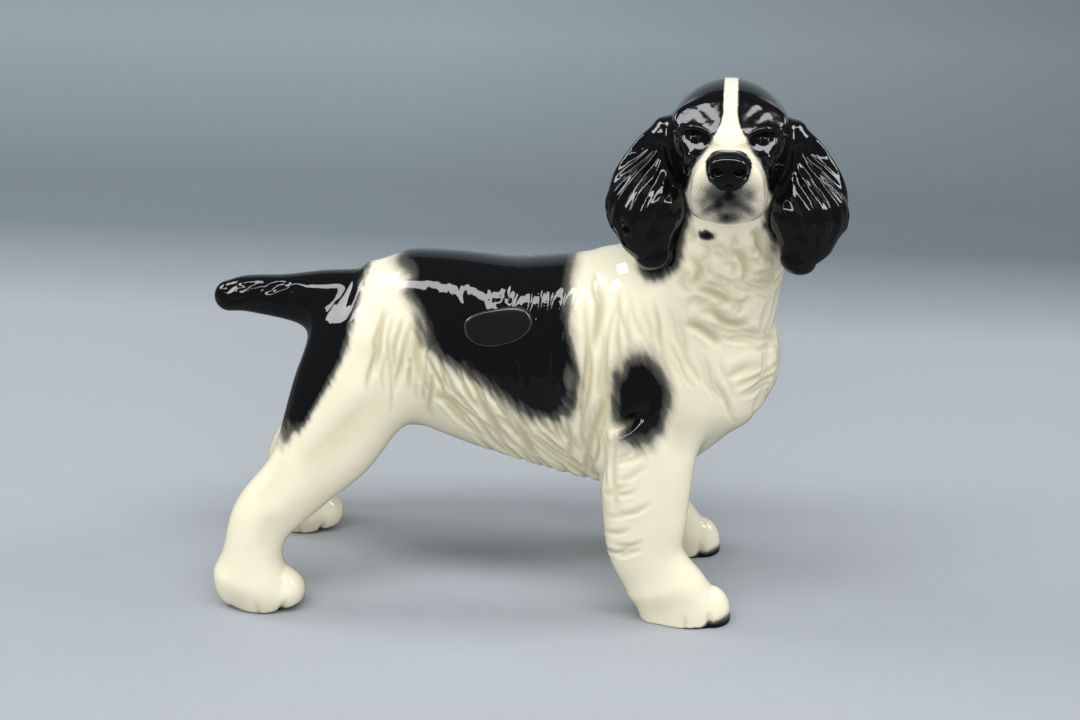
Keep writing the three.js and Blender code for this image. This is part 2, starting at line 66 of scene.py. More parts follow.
# Smooth random heights from -1 to 1: scrambled whole numbers at the corners of a unit lattice,
# blended across each cell by a soft step.
def mottle(points, seed):
    cell = np.floor(points).astype(np.int64)
    part = points - cell
    part = part * part * (3 - 2 * part)
    total = np.zeros(len(points))
    for corner in np.ndindex(2, 2, 2):
        mixed = (cell + corner) @ np.array((73856093, 19349663, 83492791)) + seed * 961748927
        mixed = (mixed ^ (mixed >> 13)) * 1274126177
        mixed = (mixed ^ (mixed >> 16)) & 0xFFFF
        weight = np.where(np.array(corner, bool), part, 1 - part).prod(1)
        total += weight * (mixed / 32767.5 - 1)
    return total


# Catmull-Rom curve through rows of any width, with the end rows mirrored to start and end it.
def smoothLine(rows, count):
    rows = np.asarray(rows, float)
    padded = np.vstack([2 * rows[0] - rows[1], rows, 2 * rows[-1] - rows[-2]])
    place = np.linspace(0, len(rows) - 1, count)
    start = np.minimum(place.astype(int), len(rows) - 2)
    t = (place - start)[:, None]
    a, b, c, d = (padded[start + k] for k in range(4))
    return b + 0.5 * t * (c - a + t * (2 * a - 5 * b + 4 * c - d + t * (3 * (b - c) + d - a)))


# A tube is a centre line with an oval ring at each place: half width along side, half depth square to it,
# keel to narrow the ring below, rounded ends, and square above 2 for a boxier ring.
def tube(rows, side, startRound, endRound, square=2.0):
    rows = np.array([tuple(row) + (0,) * (6 - len(row)) for row in rows], float)
    line = smoothLine(rows, 241)
    centre = line[:, :3]
    run = np.gradient(centre, axis=0)
    along = unit(run)
    across = unit(side - (along @ np.asarray(side, float))[:, None] * along)
    reach = line[:, 3:5].max() + max(startRound, endRound) + 9
    return {
        "line": np.hstack([centre, along, np.linalg.norm(run, axis=1, keepdims=True)]),
        "ring": np.hstack([across, np.cross(along, across), line[:, 3:]]),
        "low": centre.min(0) - reach,
        "high": centre.max(0) + reach,
        "startRound": startRound,
        "endRound": endRound,
        "square": square,
    }


# Where points lie in a tube: the share of its length, and the offsets across, up and past an end. The nearest
# place on the centre line is found roughly, then slid along until the offset is square to the line.
def placeIn(shape, points):
    line, ring = shape["line"], shape["ring"]
    last = len(line) - 1
    skip = 6
    centres = line[::skip, :3]
    place = np.empty(len(points))
    chunk = 200000
    for start in range(0, len(points), chunk):
        gaps = (centres ** 2).sum(1) - 2 * points[start:start + chunk] @ centres.T
        place[start:start + chunk] = gaps.argmin(1) * skip
    for tighten in range(4):
        lower = np.minimum(place.astype(int), last - 1)
        rest = (place - lower)[:, None]
        here = line[lower] * (1 - rest) + line[lower + 1] * rest
        offset = points - here[:, :3]
        past = (offset * here[:, 3:6]).sum(1)
        if tighten < 3:
            place = np.clip(place + past / here[:, 6], 0, last)
    row = ring[lower] * (1 - rest) + ring[lower + 1] * rest
    before = np.where((place <= 0) & (past < 0), -past, 0)
    after = np.where((place >= last) & (past > 0), past, 0)
    across = (offset * row[:, :3]).sum(1)
    up = (offset * row[:, 3:6]).sum(1)
    return place / last, across, up, before, after, row[:, 6:9]


farAway = 40.0  # mm, the distance told for points well outside a shape


# Distance to a tube's skin, to first order: how far the point's ring is from 1, over the slope of that.
def tubeDistance(shape, points):
    distance = np.full(len(points), farAway)
    near = ((points > shape["low"]) & (points < shape["high"])).all(1)
    if not near.any():
        return distance
    across, up, before, after, size = placeIn(shape, points[near])[1:]
    deep = size[:, 1]
    roundness = np.hypot(across / size[:, 0], up / deep)
    wide = size[:, 0] * (1 + size[:, 2] * up / deep / np.maximum(roundness, 1e-3))
    endRound = np.where(before > 0, shape["startRound"], shape["endRound"])
    end = (before + after) / endRound
    power = shape["square"]
    a, b = np.abs(across) / wide, np.abs(up) / deep
    ring = np.maximum(a ** power + b ** power + end ** power, 1e-6) ** (1 / power)
    terms = ((a, wide), (b, deep), (end, endRound))
    slope = sum((part ** (power - 1) / radius) ** 2 for part, radius in terms)
    slope = np.sqrt(slope) * ring ** (1 - power)
    distance[near] = (ring - 1) / np.maximum(slope, 1e-4)
    return distance


# Distance to an oval ball, to first order, from its radii along the three axes.
def ball(points, centre, radii):
    offset = points - np.asarray(centre, float)
    radii = np.asarray(radii, float)
    inner = np.linalg.norm(offset / radii, axis=1)
    return inner * (inner - 1) / np.maximum(np.linalg.norm(offset / radii ** 2, axis=1), 1e-6)


# Smooth least of two distances: within fillet of each other they melt together.
def melt(a, b, fillet):
    near = np.maximum(fillet - np.abs(a - b), 0) / fillet
    return np.minimum(a, b) - near * near * fillet / 4


# Cuts one shape out of another, with a fillet along the cut.
def carve(a, b, fillet):
    return -melt(-a, b, fillet)


# Cuts away what lies beyond a flat through a point, facing along a direction.
def cutFlat(skin, points, middle, facing, fillet):
    return -melt(-skin, -(points - np.array(middle)) @ np.array(facing), fillet)


# An oval ball melted onto a skin.
def addBall(skin, points, centre, radii, fillet):
    return melt(skin, ball(points, centre, radii), fillet)


# An oval ball pressed into a skin.
def pressBall(skin, points, centre, radii, fillet):
    return carve(skin, ball(points, centre, radii), fillet)


acrossBody = (0, 1, 0)  # the way that half widths of body, legs and tail are measured

# Body: torso stations are share of length, top, bottom, half width and keel; neck runs up to the head joint
body = {
    "rumpX": -74.5,
    "chestX": 74.5,
    "torso": [
        (0.03, 100.3, 81.0, 10.2, 0.0),
        (0.08, 109.3, 67.0, 17.0, 0.02),
        (0.17, 114.1, 57.0, 20.5, 0.04),
        (0.28, 115.0, 54.5, 22.5, 0.06),
        (0.42, 113.8, 47.5, 25.5, 0.08),
        (0.56, 115.8, 41.0, 26.5, 0.1),
        (0.65, 117.8, 38.5, 26.5, 0.1),
        (0.77, 114.3, 45.0, 26.0, 0.08),
        (0.88, 106.0, 58.0, 22.0, 0.05),
        (0.94, 100.0, 67.0, 16.5, 0.0),
        (0.98, 92.0, 75.0, 9.2, 0.0),
    ],
    "neck": [
        (39.5, 0.0, 79.5, 25.0, 33.5),
        (46.0, -1.9, 102.1, 22.5, 28.0),
        (52.5, -3.4, 120.0, 20.6, 23.6),
        (57.5, -5.0, 139.0, 18.5, 19.0),
        (58.2, -6.0, 150.9, 17.2, 16.1),
    ],
    "headJoint": 139.15,
    "torsoRound": (0.03, 0.02),  # shares of the length, at rump and breast
    "neckRound": (12.0, 5.0),
    "shoulderFillet": 7.0,
    "throatFillet": 7.0,
}
trunk = body["chestX"] - body["rumpX"]
torsoTube = tube(
    [(body["rumpX"] + trunk * share, 0, (top + bottom) / 2, wide, (top - bottom) / 2, keel)
     for share, top, bottom, wide, keel in body["torso"]],
    acrossBody, *[trunk * share for share in body["torsoRound"]])
neckTube = tube(body["neck"], acrossBody, *body["neckRound"])

# Legs: stations are ahead of the leg's x, down (0 at the body, 1 at the paw), height, half width, half depth
foreleg = {
    "x": 35.0,
    "inner": 16.5,
    "spread": 23.5,
    "stagger": -5.0,  # the left paw stands this much further back
    "line": [
        (1.0, 0.0, 83.2, 8.0, 14.0),
        (0.5, 0.25, 72.6, 9.5, 16.0),
        (-0.5, 0.6, 52.0, 10.0, 15.0),
        (-0.6, 0.8, 36.5, 9.5, 13.6),
        (-0.2, 0.92, 25.0, 8.5, 12.2),
        (4.0, 1.0, 13.0, 7.3, 10.4),
    ],
    "heel": -1.5,
    # the paw's middle and arch are shares of its height
    "paw": {"length": 29.5, "halfWidth": 7.4, "height": 15.0, "middle": 0.15, "arch": 1.2},
    "fillet": 6.0,
}
hindLeg = {
    "x": -56.0,
    "inner": 11.5,
    "spread": 28.0,
    "stagger": 2.5,
    "line": [
        (2.0, 0.0, 86.7, 9.5, 17.0),
        (-3.5, 0.16, 74.7, 12.0, 19.0),
        (-12.0, 0.36, 56.5, 12.0, 16.5),
        (-21.5, 0.61, 43.5, 10.0, 12.1),
        (-33.0, 0.83, 31.0, 8.5, 10.3),
        (-37.2, 0.94, 19.2, 8.5, 9.4),
        (-39.2, 1.0, 11.0, 8.1, 9.6),
    ],
    "heel": -49.0,
    "paw": {"length": 29.0, "halfWidth": 8.5, "height": 15.0, "middle": 0.38, "arch": 1.06},
    "fillet": 8.0,
}
pawFillet = 9.0  # where a leg melts into its paw
soleFillet = 0.6  # round the flat of the soles


# A leg and its paw on one side of the dog, and where the paw stands.
def buildLeg(spec, side):
    stagger = spec["stagger"] if side > 0 else 0
    inner, spread = spec["inner"], spec["spread"]
    line = [(spec["x"] + ahead + stagger * down, side * (inner + (spread - inner) * down), height, wide, deep)
            for ahead, down, height, wide, deep in spec["line"]]
    heel = spec["x"] + spec["heel"] + stagger
    length, halfWidth, height, middle, arch = spec["paw"].values()
    y = side * spread
    hipRound, ankleRound, heelRound, toeRound = 8, 5, 5, 6.5
    stations = [  # ahead of the heel, then shares of the paw's height and half width
        (heelRound, 0.8, 0.72),
        (length * 0.4, arch, 0.96),
        (length * 0.6, 0.2 + 0.8 * arch, 1.0),
        (length - toeRound, 0.8, 0.84),
    ]
    paw = [(heel + x, y, height * middle, halfWidth * wide, height * (top - middle))
           for x, top, wide in stations]
    return {
        "leg": tube(line, acrossBody, hipRound, ankleRound),
        "paw": tube(paw, acrossBody, heelRound, toeRound),
        "heel": heel,
        "y": y,
        "length": length,
        "halfWidth": halfWidth,
        "fillet": spec["fillet"],
    }


legs = {
    "left_foreleg": buildLeg(foreleg, 1),
    "right_foreleg": buildLeg(foreleg, -1),
    "left_hind_leg": buildLeg(hindLeg, 1),
    "right_hind_leg": buildLeg(hindLeg, -1),
}

# Tail: a docked stub
tail = {
    "line": [
        (-58.5, 0.0, 97.8, 9.0, 10.0),
        (-72.5, 0.0, 97.3, 8.5, 9.5),
        (-85.1, 0.0, 97.8, 7.0, 7.2),
        (-96.0, 0.0, 98.3, 6.0, 6.0),
        (-102.5, 0.0, 97.3, 5.0, 5.0),
    ],
    "endRound": 5.0,
    "fillet": 7.0,
}
tailTube = tube(tail["line"], acrossBody, tail["endRound"], tail["endRound"])

# Head, in its own axes: aside to the dog's left, ahead to the nose, up; pairs are given for one side
head = {
    "centre": (57.1, -8.5, 159.0),
    "pitch": 5.0,  # degrees, nose up
    "yaw": 1.2,  # degrees, nose towards the breast
    "skull": [
        (0, -18.9, -1.0, 8.5, 8.6),
        (0, -14.3, -0.5, 14.2, 14.0),
        (0, -6.3, 0.0, 17.9, 17.5),
        (0, 3.2, 0.0, 18.5, 18.0),
        (0, 11.6, -1.0, 16.5, 15.7),
        (0, 16.8, -3.0, 13.0, 11.9),
    ],
    "muzzle": [
        (0, 8.0, -4.6, 13.5, 12.0),
        (0, 19.0, -5.6, 11.0, 10.8),
        (0, 30.0, -5.9, 11.2, 11.0),
        (0, 38.0, -6.1, 10.4, 10.0),
    ],
    "nose": [
        (0, 35.0, 0.8, 5.4, 4.3),
        (0, 38.6, 0.6, 6.2, 5.0),
        (0, 41.0, 0.4, 5.6, 4.5),
    ],
    "skullRound": (2.1, 4.2),
    "muzzleRound": (4.0, 3.0),
    "noseRound": (2.0, 2.2),
    "boxy": 2.5,  # ring power of muzzle and nose
    # forms of the face: their middle, their radii or the way a flat faces, and the fillet around them
    "brow": ((9.0, 11.8, 8.6), (8.0, 6.2, 5.2), 2.5),
    "browFlat": ((8.5, 14.1, 9.6), (0.23, 0.745, 0.626), 1.2),
    "flew": ((6.9, 31.0, -10.4), (4.7, 9.5, 5.7), 2.5),
    "chin": ((0.0, 35.6, -13.0), (5.6, 4.4, 3.4), 1.4),
    "socket": ((9.7, 21.2, 4.2), (5.0, 3.7, 3.5), 2.2),
    "eye": ((10.1, 15.4, 2.6), (4.6, 5.2, 5.0), 0.8),
    "eyeFlat": ((10.1, 18.2, 3.2), (0.05, 0.79, 0.611), 1.0),
    "pupil": ((10.0, 18.0, 4.2), (1.3, 0.8, 1.2), 0.3),
    "nostril": ((3.2, 42.3, 0.5), (1.6, 2.4, 1.1), 0.6),
    "nostrilSlit": ((5.2, 41.6, -1.0), (1.5, 1.6, 0.55), 0.6),
    "upperLid": [(5.0, 19.4, 4.4), (7.2, 19.6, 6.9), (10.4, 18.7, 7.8), (13.4, 16.0, 6.6), (15.0, 13.6, 4.6)],
    "lidHalfWidth": 0.95,
    "lidRound": 0.8,
    "lidFillet": 0.9,
    "noseFillet": 1.1,
    "lowest": 116.0,  # nothing of the head reaches below this height
}
pitch, yaw = np.radians((head["pitch"], head["yaw"]))
headAxes = np.array([  # rows: aside, ahead and up, seen in the sculptor's axes
    (np.cos(yaw), np.sin(yaw), 0),
    (np.sin(yaw) * np.cos(pitch), -np.cos(yaw) * np.cos(pitch), np.sin(pitch)),
    (-np.sin(yaw) * np.sin(pitch), np.cos(yaw) * np.sin(pitch), np.cos(pitch)),
])
headSide = (1, 0, 0)
skullTube = tube(head["skull"], headSide, *head["skullRound"])
muzzleTube = tube(head["muzzle"], headSide, *head["muzzleRound"], head["boxy"])
noseTube = tube(head["nose"], headSide, *head["noseRound"], head["boxy"])
lidRing = (head["lidHalfWidth"], head["lidHalfWidth"])
lidLine = [point + lidRing for point in head["upperLid"]]
lidTube = tube(lidLine, (0, 0.3, 1), head["lidRound"], head["lidRound"])


# Points in the head's axes: their offsets from its centre along aside, ahead and up.
def toHead(points):
    return (points - np.array(head["centre"])) @ headAxes.T


# The head's skin: skull and muzzle melted together, then the face pressed and built up on both sides.
def headDistance(points):
    distance = np.full(len(points), farAway)
    near = points[:, 2] > head["lowest"]
    if not near.any():
        return distance
    place = toHead(points[near])
    paired = np.abs(place * (1, 0, 0)) + place * (0, 1, 1)
    skin = addBall(tubeDistance(skullTube, place), paired, *head["brow"])
    skin = cutFlat(skin, paired, *head["browFlat"])
    stopFillet = 6 - 4.5 * softStep(place[:, 2], 1, 6)  # the muzzle meets the brow in a sharper corner above
    skin = melt(skin, tubeDistance(muzzleTube, place), stopFillet)
    skin = addBall(skin, paired, *head["flew"])
    skin = addBall(skin, place, *head["chin"])
    skin = pressBall(skin, paired, *head["socket"])
    *eyeball, eyeFillet = head["eye"]
    skin = melt(skin, cutFlat(ball(paired, *eyeball), paired, *head["eyeFlat"]), eyeFillet)
    skin = addBall(skin, paired, *head["pupil"])
    skin = melt(skin, tubeDistance(lidTube, paired), head["lidFillet"])
    nose = tubeDistance(noseTube, place)
    for hole in ("nostril", "nostrilSlit"):
        nose = pressBall(nose, paired, *head[hole])
    distance[near] = melt(skin, nose, head["noseFillet"])
    return distance


# Ears: one hanging flap, mirrored for the other side
ear = {
    "line": [
        (18.5, -2.0, 2.0, 5.0, 5.0),
        (21.75, 0.4, -6.6, 9.6, 7.0),
        (24.55, 3.4, -17.35, 12.5, 9.0),
        (24.1, 6.3, -27.7, 10.25, 7.0),
        (22.1, 8.3, -35.0, 6.0, 4.3),
    ],
    "turn": 25.0,  # degrees that its outer edge is turned back
    "endRound": (4.0, 4.7),
    "rootFillet": 3.0,
}
earTurn = np.radians(ear["turn"])
earTube = tube(ear["line"], (np.cos(earTurn), -np.sin(earTurn), 0), *ear["endRound"])
earSides = {"left_ear": 1, "right_ear": -1}


# Points in the head's axes, mirrored for the right ear so that one flap serves both.
def earPlace(points, name):
    return toHead(points) * (earSides[name], 1, 1)


# Distance to the core: torso, neck and head melted together.
def coreDistance(points):
    core = melt(tubeDistance(torsoTube, points), tubeDistance(neckTube, points), body["shoulderFillet"])
    return melt(core, headDistance(points), body["throatFillet"])


# Distance to a leg melted into its paw.
def legDistance(leg, points):
    return melt(tubeDistance(leg["leg"], points), tubeDistance(leg["paw"], points), pawFillet)


# Distance to one ear's flap.
def earDistance(points, name):
    return tubeDistance(earTube, earPlace(points, name))


# Distances to core, tail and legs, each by itself.
def bodyParts(points):
    parts = [coreDistance(points), tubeDistance(tailTube, points)]
    return parts + [legDistance(leg, points) for leg in legs.values()]


# The standing body's skin: core, tail and legs melted together and cut flat on the ground.
def bodySkin(points):
    parts = bodyParts(points)
    skin = melt(parts[0], parts[1], tail["fillet"])
    for leg, part in zip(legs.values(), parts[2:]):
        skin = melt(skin, part, leg["fillet"])
    return carve(skin, points[:, 2], soleFillet)


# Distances to the core and to each ear.
def headParts(points):
    return [coreDistance(points)] + [earDistance(points, name) for name in earSides]


# The head's skin: the core again, with an ear melted on at each side.
def headSkin(points):
    parts = headParts(points)
    skin = parts[0]
    for part in parts[1:]:
        skin = melt(skin, part, ear["rootFillet"])
    return skin


# The eight copies of a lattice, shifted by no step or one along each axis and cut to one size.
def shiftedCopies(lattice, size):
    return [lattice[a:a + size[0], b:b + size[1], c:c + size[2]] for a, b, c in np.ndindex(2, 2, 2)]


# Surface net: one point in every cell of a lattice that the skin crosses, at the mean of the crossings on the
# cell's edges, and a four-sided face around every lattice edge that the skin crosses.
def surfaceNet(skinAt, low, high, step):
    low = np.asarray(low, float)
    coarse = 4  # fine cells along a coarse one
    batch = 8000  # coarse cells worked out at a time
    margin = 1.6  # how near, in coarse cells, the skin may be
    cells = np.ceil((np.asarray(high) - low) / (coarse * step)).astype(int)
    nodes = np.stack(np.meshgrid(*[np.arange(n + 1) for n in cells], indexing="ij"), -1)
    rough = skinAt(low + nodes.reshape(-1, 3) * coarse * step).reshape(nodes.shape[:3])
    nearest = np.min(np.abs(shiftedCopies(rough, cells)), axis=0)
    active = np.argwhere(nearest < coarse * step * margin)
    field = rough[:-1, :-1, :-1]
    for axis in range(3):
        field = np.repeat(field, coarse, axis)
    field = field.astype(np.float32)
    inner = np.array(list(np.ndindex(coarse, coarse, coarse)))
    for start in range(0, len(active), batch):
        index = (active[start:start + batch, None] * coarse + inner).reshape(-1, 3)
        field[tuple(index.T)] = skinAt(low + index * step)
    inside = field < 0
    size = np.array(field.shape) - 1
    copies = shiftedCopies(inside, size)
    crowd = sum(copy.astype(np.int8) for copy in copies)
    crossed = np.argwhere((crowd > 0) & (crowd < 8))
    offsets = np.array(list(np.ndindex(2, 2, 2)))
    values = np.stack([field[tuple((crossed + offset).T)] for offset in offsets], 1)
    total = np.zeros((len(crossed), 3))
    count = np.zeros(len(crossed))
    edges = [(i, j) for i, j in np.ndindex(8, 8) if i < j and np.abs(offsets[i] - offsets[j]).sum() == 1]
    for i, j in edges:
        cut = (values[:, i] < 0) != (values[:, j] < 0)
        share = values[cut, i] / (values[cut, i] - values[cut, j])
        total[cut] += offsets[i] + share[:, None] * (offsets[j] - offsets[i])
        count[cut] += 1
    points = low + (crossed + total / count[:, None]) * step
    number = np.full(size, -1, np.int32)
    number[tuple(crossed.T)] = np.arange(len(crossed))
    faces = []
    for axis in range(3):
        b, c = np.roll(np.eye(3, dtype=int), axis, 1)[1:]
        start, end = copies[0], copies[4 >> axis]  # the two ends of every lattice edge along this axis
        edge = np.argwhere(start != end)
        edge = edge[((edge - b - c) >= 0).all(1)]
        around = np.stack([number[tuple((edge - shift).T)] for shift in (b + c, c, 0 * b, b)], 1)
        turned = ~start[tuple(edge.T)]
        around[turned] = around[turned][:, ::-1]
        faces.append(around[(around >= 0).all(1)])
    return points, np.vstack(faces)


# Slope of a skin's distance by small steps along the three axes.
def slopeAt(skinAt, points, here):
    reach = 0.05
    return np.stack([(skinAt(points + reach * axis) - here) / reach for axis in np.eye(3)], 1)


# Sums of corner values over the points of a mesh.
def gather(index, values, count):
    return np.stack([np.bincount(index, column, count) for column in values.T], 1)


# Normal at each point: the cross products of its faces' diagonals, added up.
def pointNormals(points, faces):
    corner = points[faces]
    normal = np.cross(corner[:, 2] - corner[:, 0], corner[:, 3] - corner[:, 1])
    return unit(gather(faces.ravel(), np.repeat(normal, 4, 0), len(points)))


# Mean of the points that share an edge with each point.
def neighbourMean(points, faces):
    pairs = np.stack([faces, np.roll(faces, -1, 1)], -1).reshape(-1, 2)
    pairs = np.vstack([pairs, pairs[:, ::-1]])
    total = gather(pairs[:, 0], points[pairs[:, 1]], len(points))
    return total / np.maximum(np.bincount(pairs[:, 0], minlength=len(points)), 1)[:, None]


# Mesh of a skin: net points are evened out along the skin and drawn back onto it.
def meshSkin(skinAt, low, high, step):
    points, faces = surfaceNet(skinAt, low, high, step)
    for turn in range(3):
        if turn:
            normal = pointNormals(points, faces)
            move = neighbourMean(points, faces) - points
            points = points + 0.5 * (move - (move * normal).sum(1, keepdims=True) * normal)
        here = skinAt(points)
        slope = slopeAt(skinAt, points, here)
        pull = here / np.maximum((slope ** 2).sum(1), 0.1)
        points = points - slope * np.clip(pull, -step, step)[:, None]
    return points, faces


skins = {
    "bodyStep": 0.61,
    "bodyLow": (-112, -44, -2),
    "bodyHigh": (82, 44, 143),
    "headStep": 0.42,
    "headLow": (16, -57, 112),
    "headHigh": (102, 22, 182),
}
bodyPoints, bodyFaces = meshSkin(bodySkin, skins["bodyLow"], skins["bodyHigh"], skins["bodyStep"])
print("body skin:", len(bodyPoints), "points")
headPoints, headFaces = meshSkin(headSkin, skins["headLow"], skins["headHigh"], skins["headStep"])
print("head skin:", len(headPoints), "points")


# Tool strokes: a groove along a path in a flat view, deepest in its middle, steep on one side and sloping on
# the other like overlapping locks, with a low burr beside it. Where strokes cross, the deepest wins.
toolMark = {"reach": 5, "slope": 1.8, "taper": 0.7, "burr": 0.3, "burrPlace": 2, "burrWidth": 0.8}


def drawStrokes(dents, burrs, plane, weight, strokes):
    for path, width, depth in strokes:
        reach = toolMark["reach"] * width
        near = ((plane > path.min(0) - reach) & (plane < path.max(0) + reach)).all(1) & (weight > 0.01)
        near = np.flatnonzero(near)
        if not len(near):
            continue
        gaps = np.linalg.norm(plane[near, None] - path[None], axis=2)
        closest = gaps.argmin(1)
        step = np.gradient(path, axis=0)[closest]
        offset = plane[near] - path[closest]
        sloping = step[:, 0] * offset[:, 1] > step[:, 1] * offset[:, 0]
        gap = gaps[np.arange(len(near)), closest] / width / np.where(sloping, toolMark["slope"], 1.0)
        taper = np.sin(np.pi * (closest + 0.5) / len(path)) ** toolMark["taper"]
        dent = depth * taper * weight[near]
        burr = np.exp(-((gap - toolMark["burrPlace"]) / toolMark["burrWidth"]) ** 2)
        dents[near] = np.maximum(dents[near], dent * np.exp(-gap ** 2))
        burrs[near] = np.maximum(burrs[near], toolMark["burr"] * dent * burr)


# A comb of strokes: they start along a line from one point to another, head off at an angle, bend and wave.
def comb(rng, start, end, count, heading, bend, wave, length, width, depth):
    strokes = []
    for k in range(count):
        share = (k + rng.uniform(0.1, 0.9)) / count
        place = np.array(start) + share * (np.array(end) - np.array(start)) + rng.normal(0, 1.2, 2)
        long = length * rng.uniform(0.8, 1.45)
        t = np.linspace(0, 1, max(int(long / 0.5), 6))
        turn = heading + rng.normal(0, 5) + bend * (t - 0.5)
        turn = np.radians(turn + wave * np.sin(2 * np.pi * (1.3 * t + rng.uniform())))
        step = np.stack([np.cos(turn), np.sin(turn)], 1) * (long / len(t))
        path = place + np.cumsum(step, 0)
        strokes.append((path, width * rng.uniform(0.6, 0.95), depth * rng.uniform(0.8, 1.6)))
    return strokes


# Curls: short hooked strokes scattered round a middle.
def curls(rng, middle, spread, count, radius, width, depth):
    strokes = []
    for k in range(count):
        place = np.array(middle) + rng.uniform(-1, 1, 2) * spread
        t = np.linspace(0, 1, 16)
        turn = rng.uniform(0, 2 * np.pi) + rng.choice((-1, 1)) * t * rng.uniform(2.5, 4.5)
        size = radius * rng.uniform(0.7, 1.3) * (1 - 0.45 * t)
        strokes.append((place + np.stack([np.cos(turn), np.sin(turn)], 1) * size[:, None], width, depth))
    return strokes


# Coat: deep locks seen from the side, then combs of finer ones as start, end, count, heading, bend, wave,
# length, width and depth
deepLocks = {
    "size": (1.15, 1.4),  # width and depth
    "paths": [
        [(-38.9, 100), (-38.2, 93), (-38.8, 87.6), (-37.2, 78.3)],
        [(-33.4, 74), (-29.2, 73.1), (-25.9, 68.9), (-23.7, 63)],
        [(-19.9, 75), (-16.4, 70.4), (-13.8, 64), (-11.8, 55.7)],
        [(-8.5, 70), (-5.5, 63), (-3.5, 56), (-2.5, 51)],
        [(17.2, 115), (17.3, 111), (18.9, 107), (18.1, 99.7), (16.3, 92.8)],
        [(8.4, 99), (9.9, 93), (12.2, 85), (10.9, 73.7), (10.2, 65.4)],
        [(22.6, 87), (21.7, 78.5), (19.1, 71), (16.4, 62.5), (14, 53.3)],
        [(48.1, 115.6), (53, 114.5), (58, 111.7), (61, 110.3)],
        [(50.2, 109.7), (54.7, 107.5), (58.2, 103.9), (62.7, 102.2), (65.6, 101.8)],
        [(45.4, 104.2), (49.9, 102.7), (54.4, 99.2), (56.5, 96.2)],
        [(46.8, 125.5), (49.4, 122.2), (49, 119), (47, 117)],
        [(59, 124.6), (60.4, 127.2), (62.9, 124.8), (64, 119.8), (61.8, 115.7)],
        [(64.5, 134.2), (67, 132.2), (68, 128.2), (70.7, 124.6)],
        [(23.5, 68.6), (27.5, 69.6), (31, 72.6), (35, 77)],
    ],
}
coat = {
    "thigh": ((-50, 104), (-33, 97), 9, -97, 26, 8, 20, 0.72, 0.7),
    "lowThigh": ((-47, 92), (-32, 84), 8, -92, 24, 8, 16, 0.7, 0.6),
    "saddle": ((-36, 111), (-12, 112), 8, -80, 10, 9, 16, 0.9, 0.35),
    "withers": ((-12, 113), (11, 113), 9, -97, 14, 10, 24, 0.8, 0.65),
    "fringe": ((-37, 92), (6, 72), 24, -66, 18, 9, 15, 0.7, 0.8),
    "belly": ((-35, 79), (8, 58), 20, -52, -16, 8, 19, 0.75, 0.8),
    "underbelly": ((-26, 63), (14, 49), 11, -58, -10, 6, 13, 0.8, 0.6),
    "behindShoulder": ((10, 112), (25, 106), 9, -92, 8, 9, 40, 0.8, 0.75),
    "girth": ((10, 80), (23, 70), 9, -90, -14, 10, 24, 0.8, 0.75),
    "shoulder": ((23, 112), (46, 107), 10, -68, 16, 10, 22, 0.85, 0.55),
    "shoulderPoint": ((38, 101), (57, 91), 9, -66, 14, 10, 18, 0.85, 0.45),
    "chest": ((46, 118), (64, 120), 9, -24, -26, 14, 17, 0.9, 0.6),
    "breast": ((50, 104), (67, 94), 9, -20, -24, 14, 14, 0.9, 0.6),
    "lowBreast": ((56, 86), (68, 78), 5, 12, 10, 9, 12, 1.2, 0.55),
    "foreFeather": ((22.5, 61), (22.0, 20), 12, 28, 14, 9, 10, 0.9, 0.5),
    "tailLock": ((-76, 105), (-99, 102.5), 11, 200, -14, 18, 9, 0.8, 0.5),
}
softHollows = [  # thigh tendons, hock and shoulder, on each side
    ([(-47, 80), (-56, 70), (-66, 60), (-76, 50)], 3.2, 0.7),
    ([(-80, 52), (-86, 44), (-91, 39)], 2.2, 0.5),
    ([(-83, 36), (-87, 29), (-88, 22)], 2.2, 0.4),
    ([(24, 100), (27, 88), (25, 76)], 2.2, 0.5),
    ([(46, 84), (44, 70), (46, 58)], 3.0, 0.5),
]
ruff = {"middle": (58, 121), "spread": (13, 13), "count": 34, "radius": 2.8, "width": 0.95, "depth": 0.75}
frontCoat = {  # combs on the breast seen from the front, across and up
    "upper": ((-15, 112), (13, 112), 8, -88, 10, 12, 22, 1.15, 0.6),
    "lower": ((-13, 92), (13, 92), 8, -90, 10, 12, 16, 1.1, 0.55),
}
frontRuff = {"middle": (-3, 121), "spread": (14, 10), "count": 16, "radius": 2.6, "width": 1.0, "depth": 0.7}
elbowLip = {  # raised under the elbow's fold
    "path": [(33.6, 74.0), (30.2, 70.0), (26.4, 67.0), (22.2, 65.8)],
    "size": (1.7, 3.2),  # width and height
}
toes = {
    "lines": [(-88, 0.45), (-38, 0.7), (2, 0.5), (42, 0.7), (90, 0.45)],  # degrees from straight ahead, depth
    "lineWidth": 0.8,
}
labelSpot = {"x": -12.6, "z": 96.9, "halfWidth": 13.0, "halfHeight": 7.5}  # left smooth under the label


# How far out points lie in an upright oval, 1 at its rim.
def ovalShare(across, up, oval):
    return np.hypot((across - oval["x"]) / oval["halfWidth"], (up - oval["z"]) / oval["halfHeight"])


# Value read off a table of rows, straight between them.
def tableAt(rows, value):
    rows = np.asarray(rows, float)
    return np.interp(value, rows[:, 0], rows[:, 1])


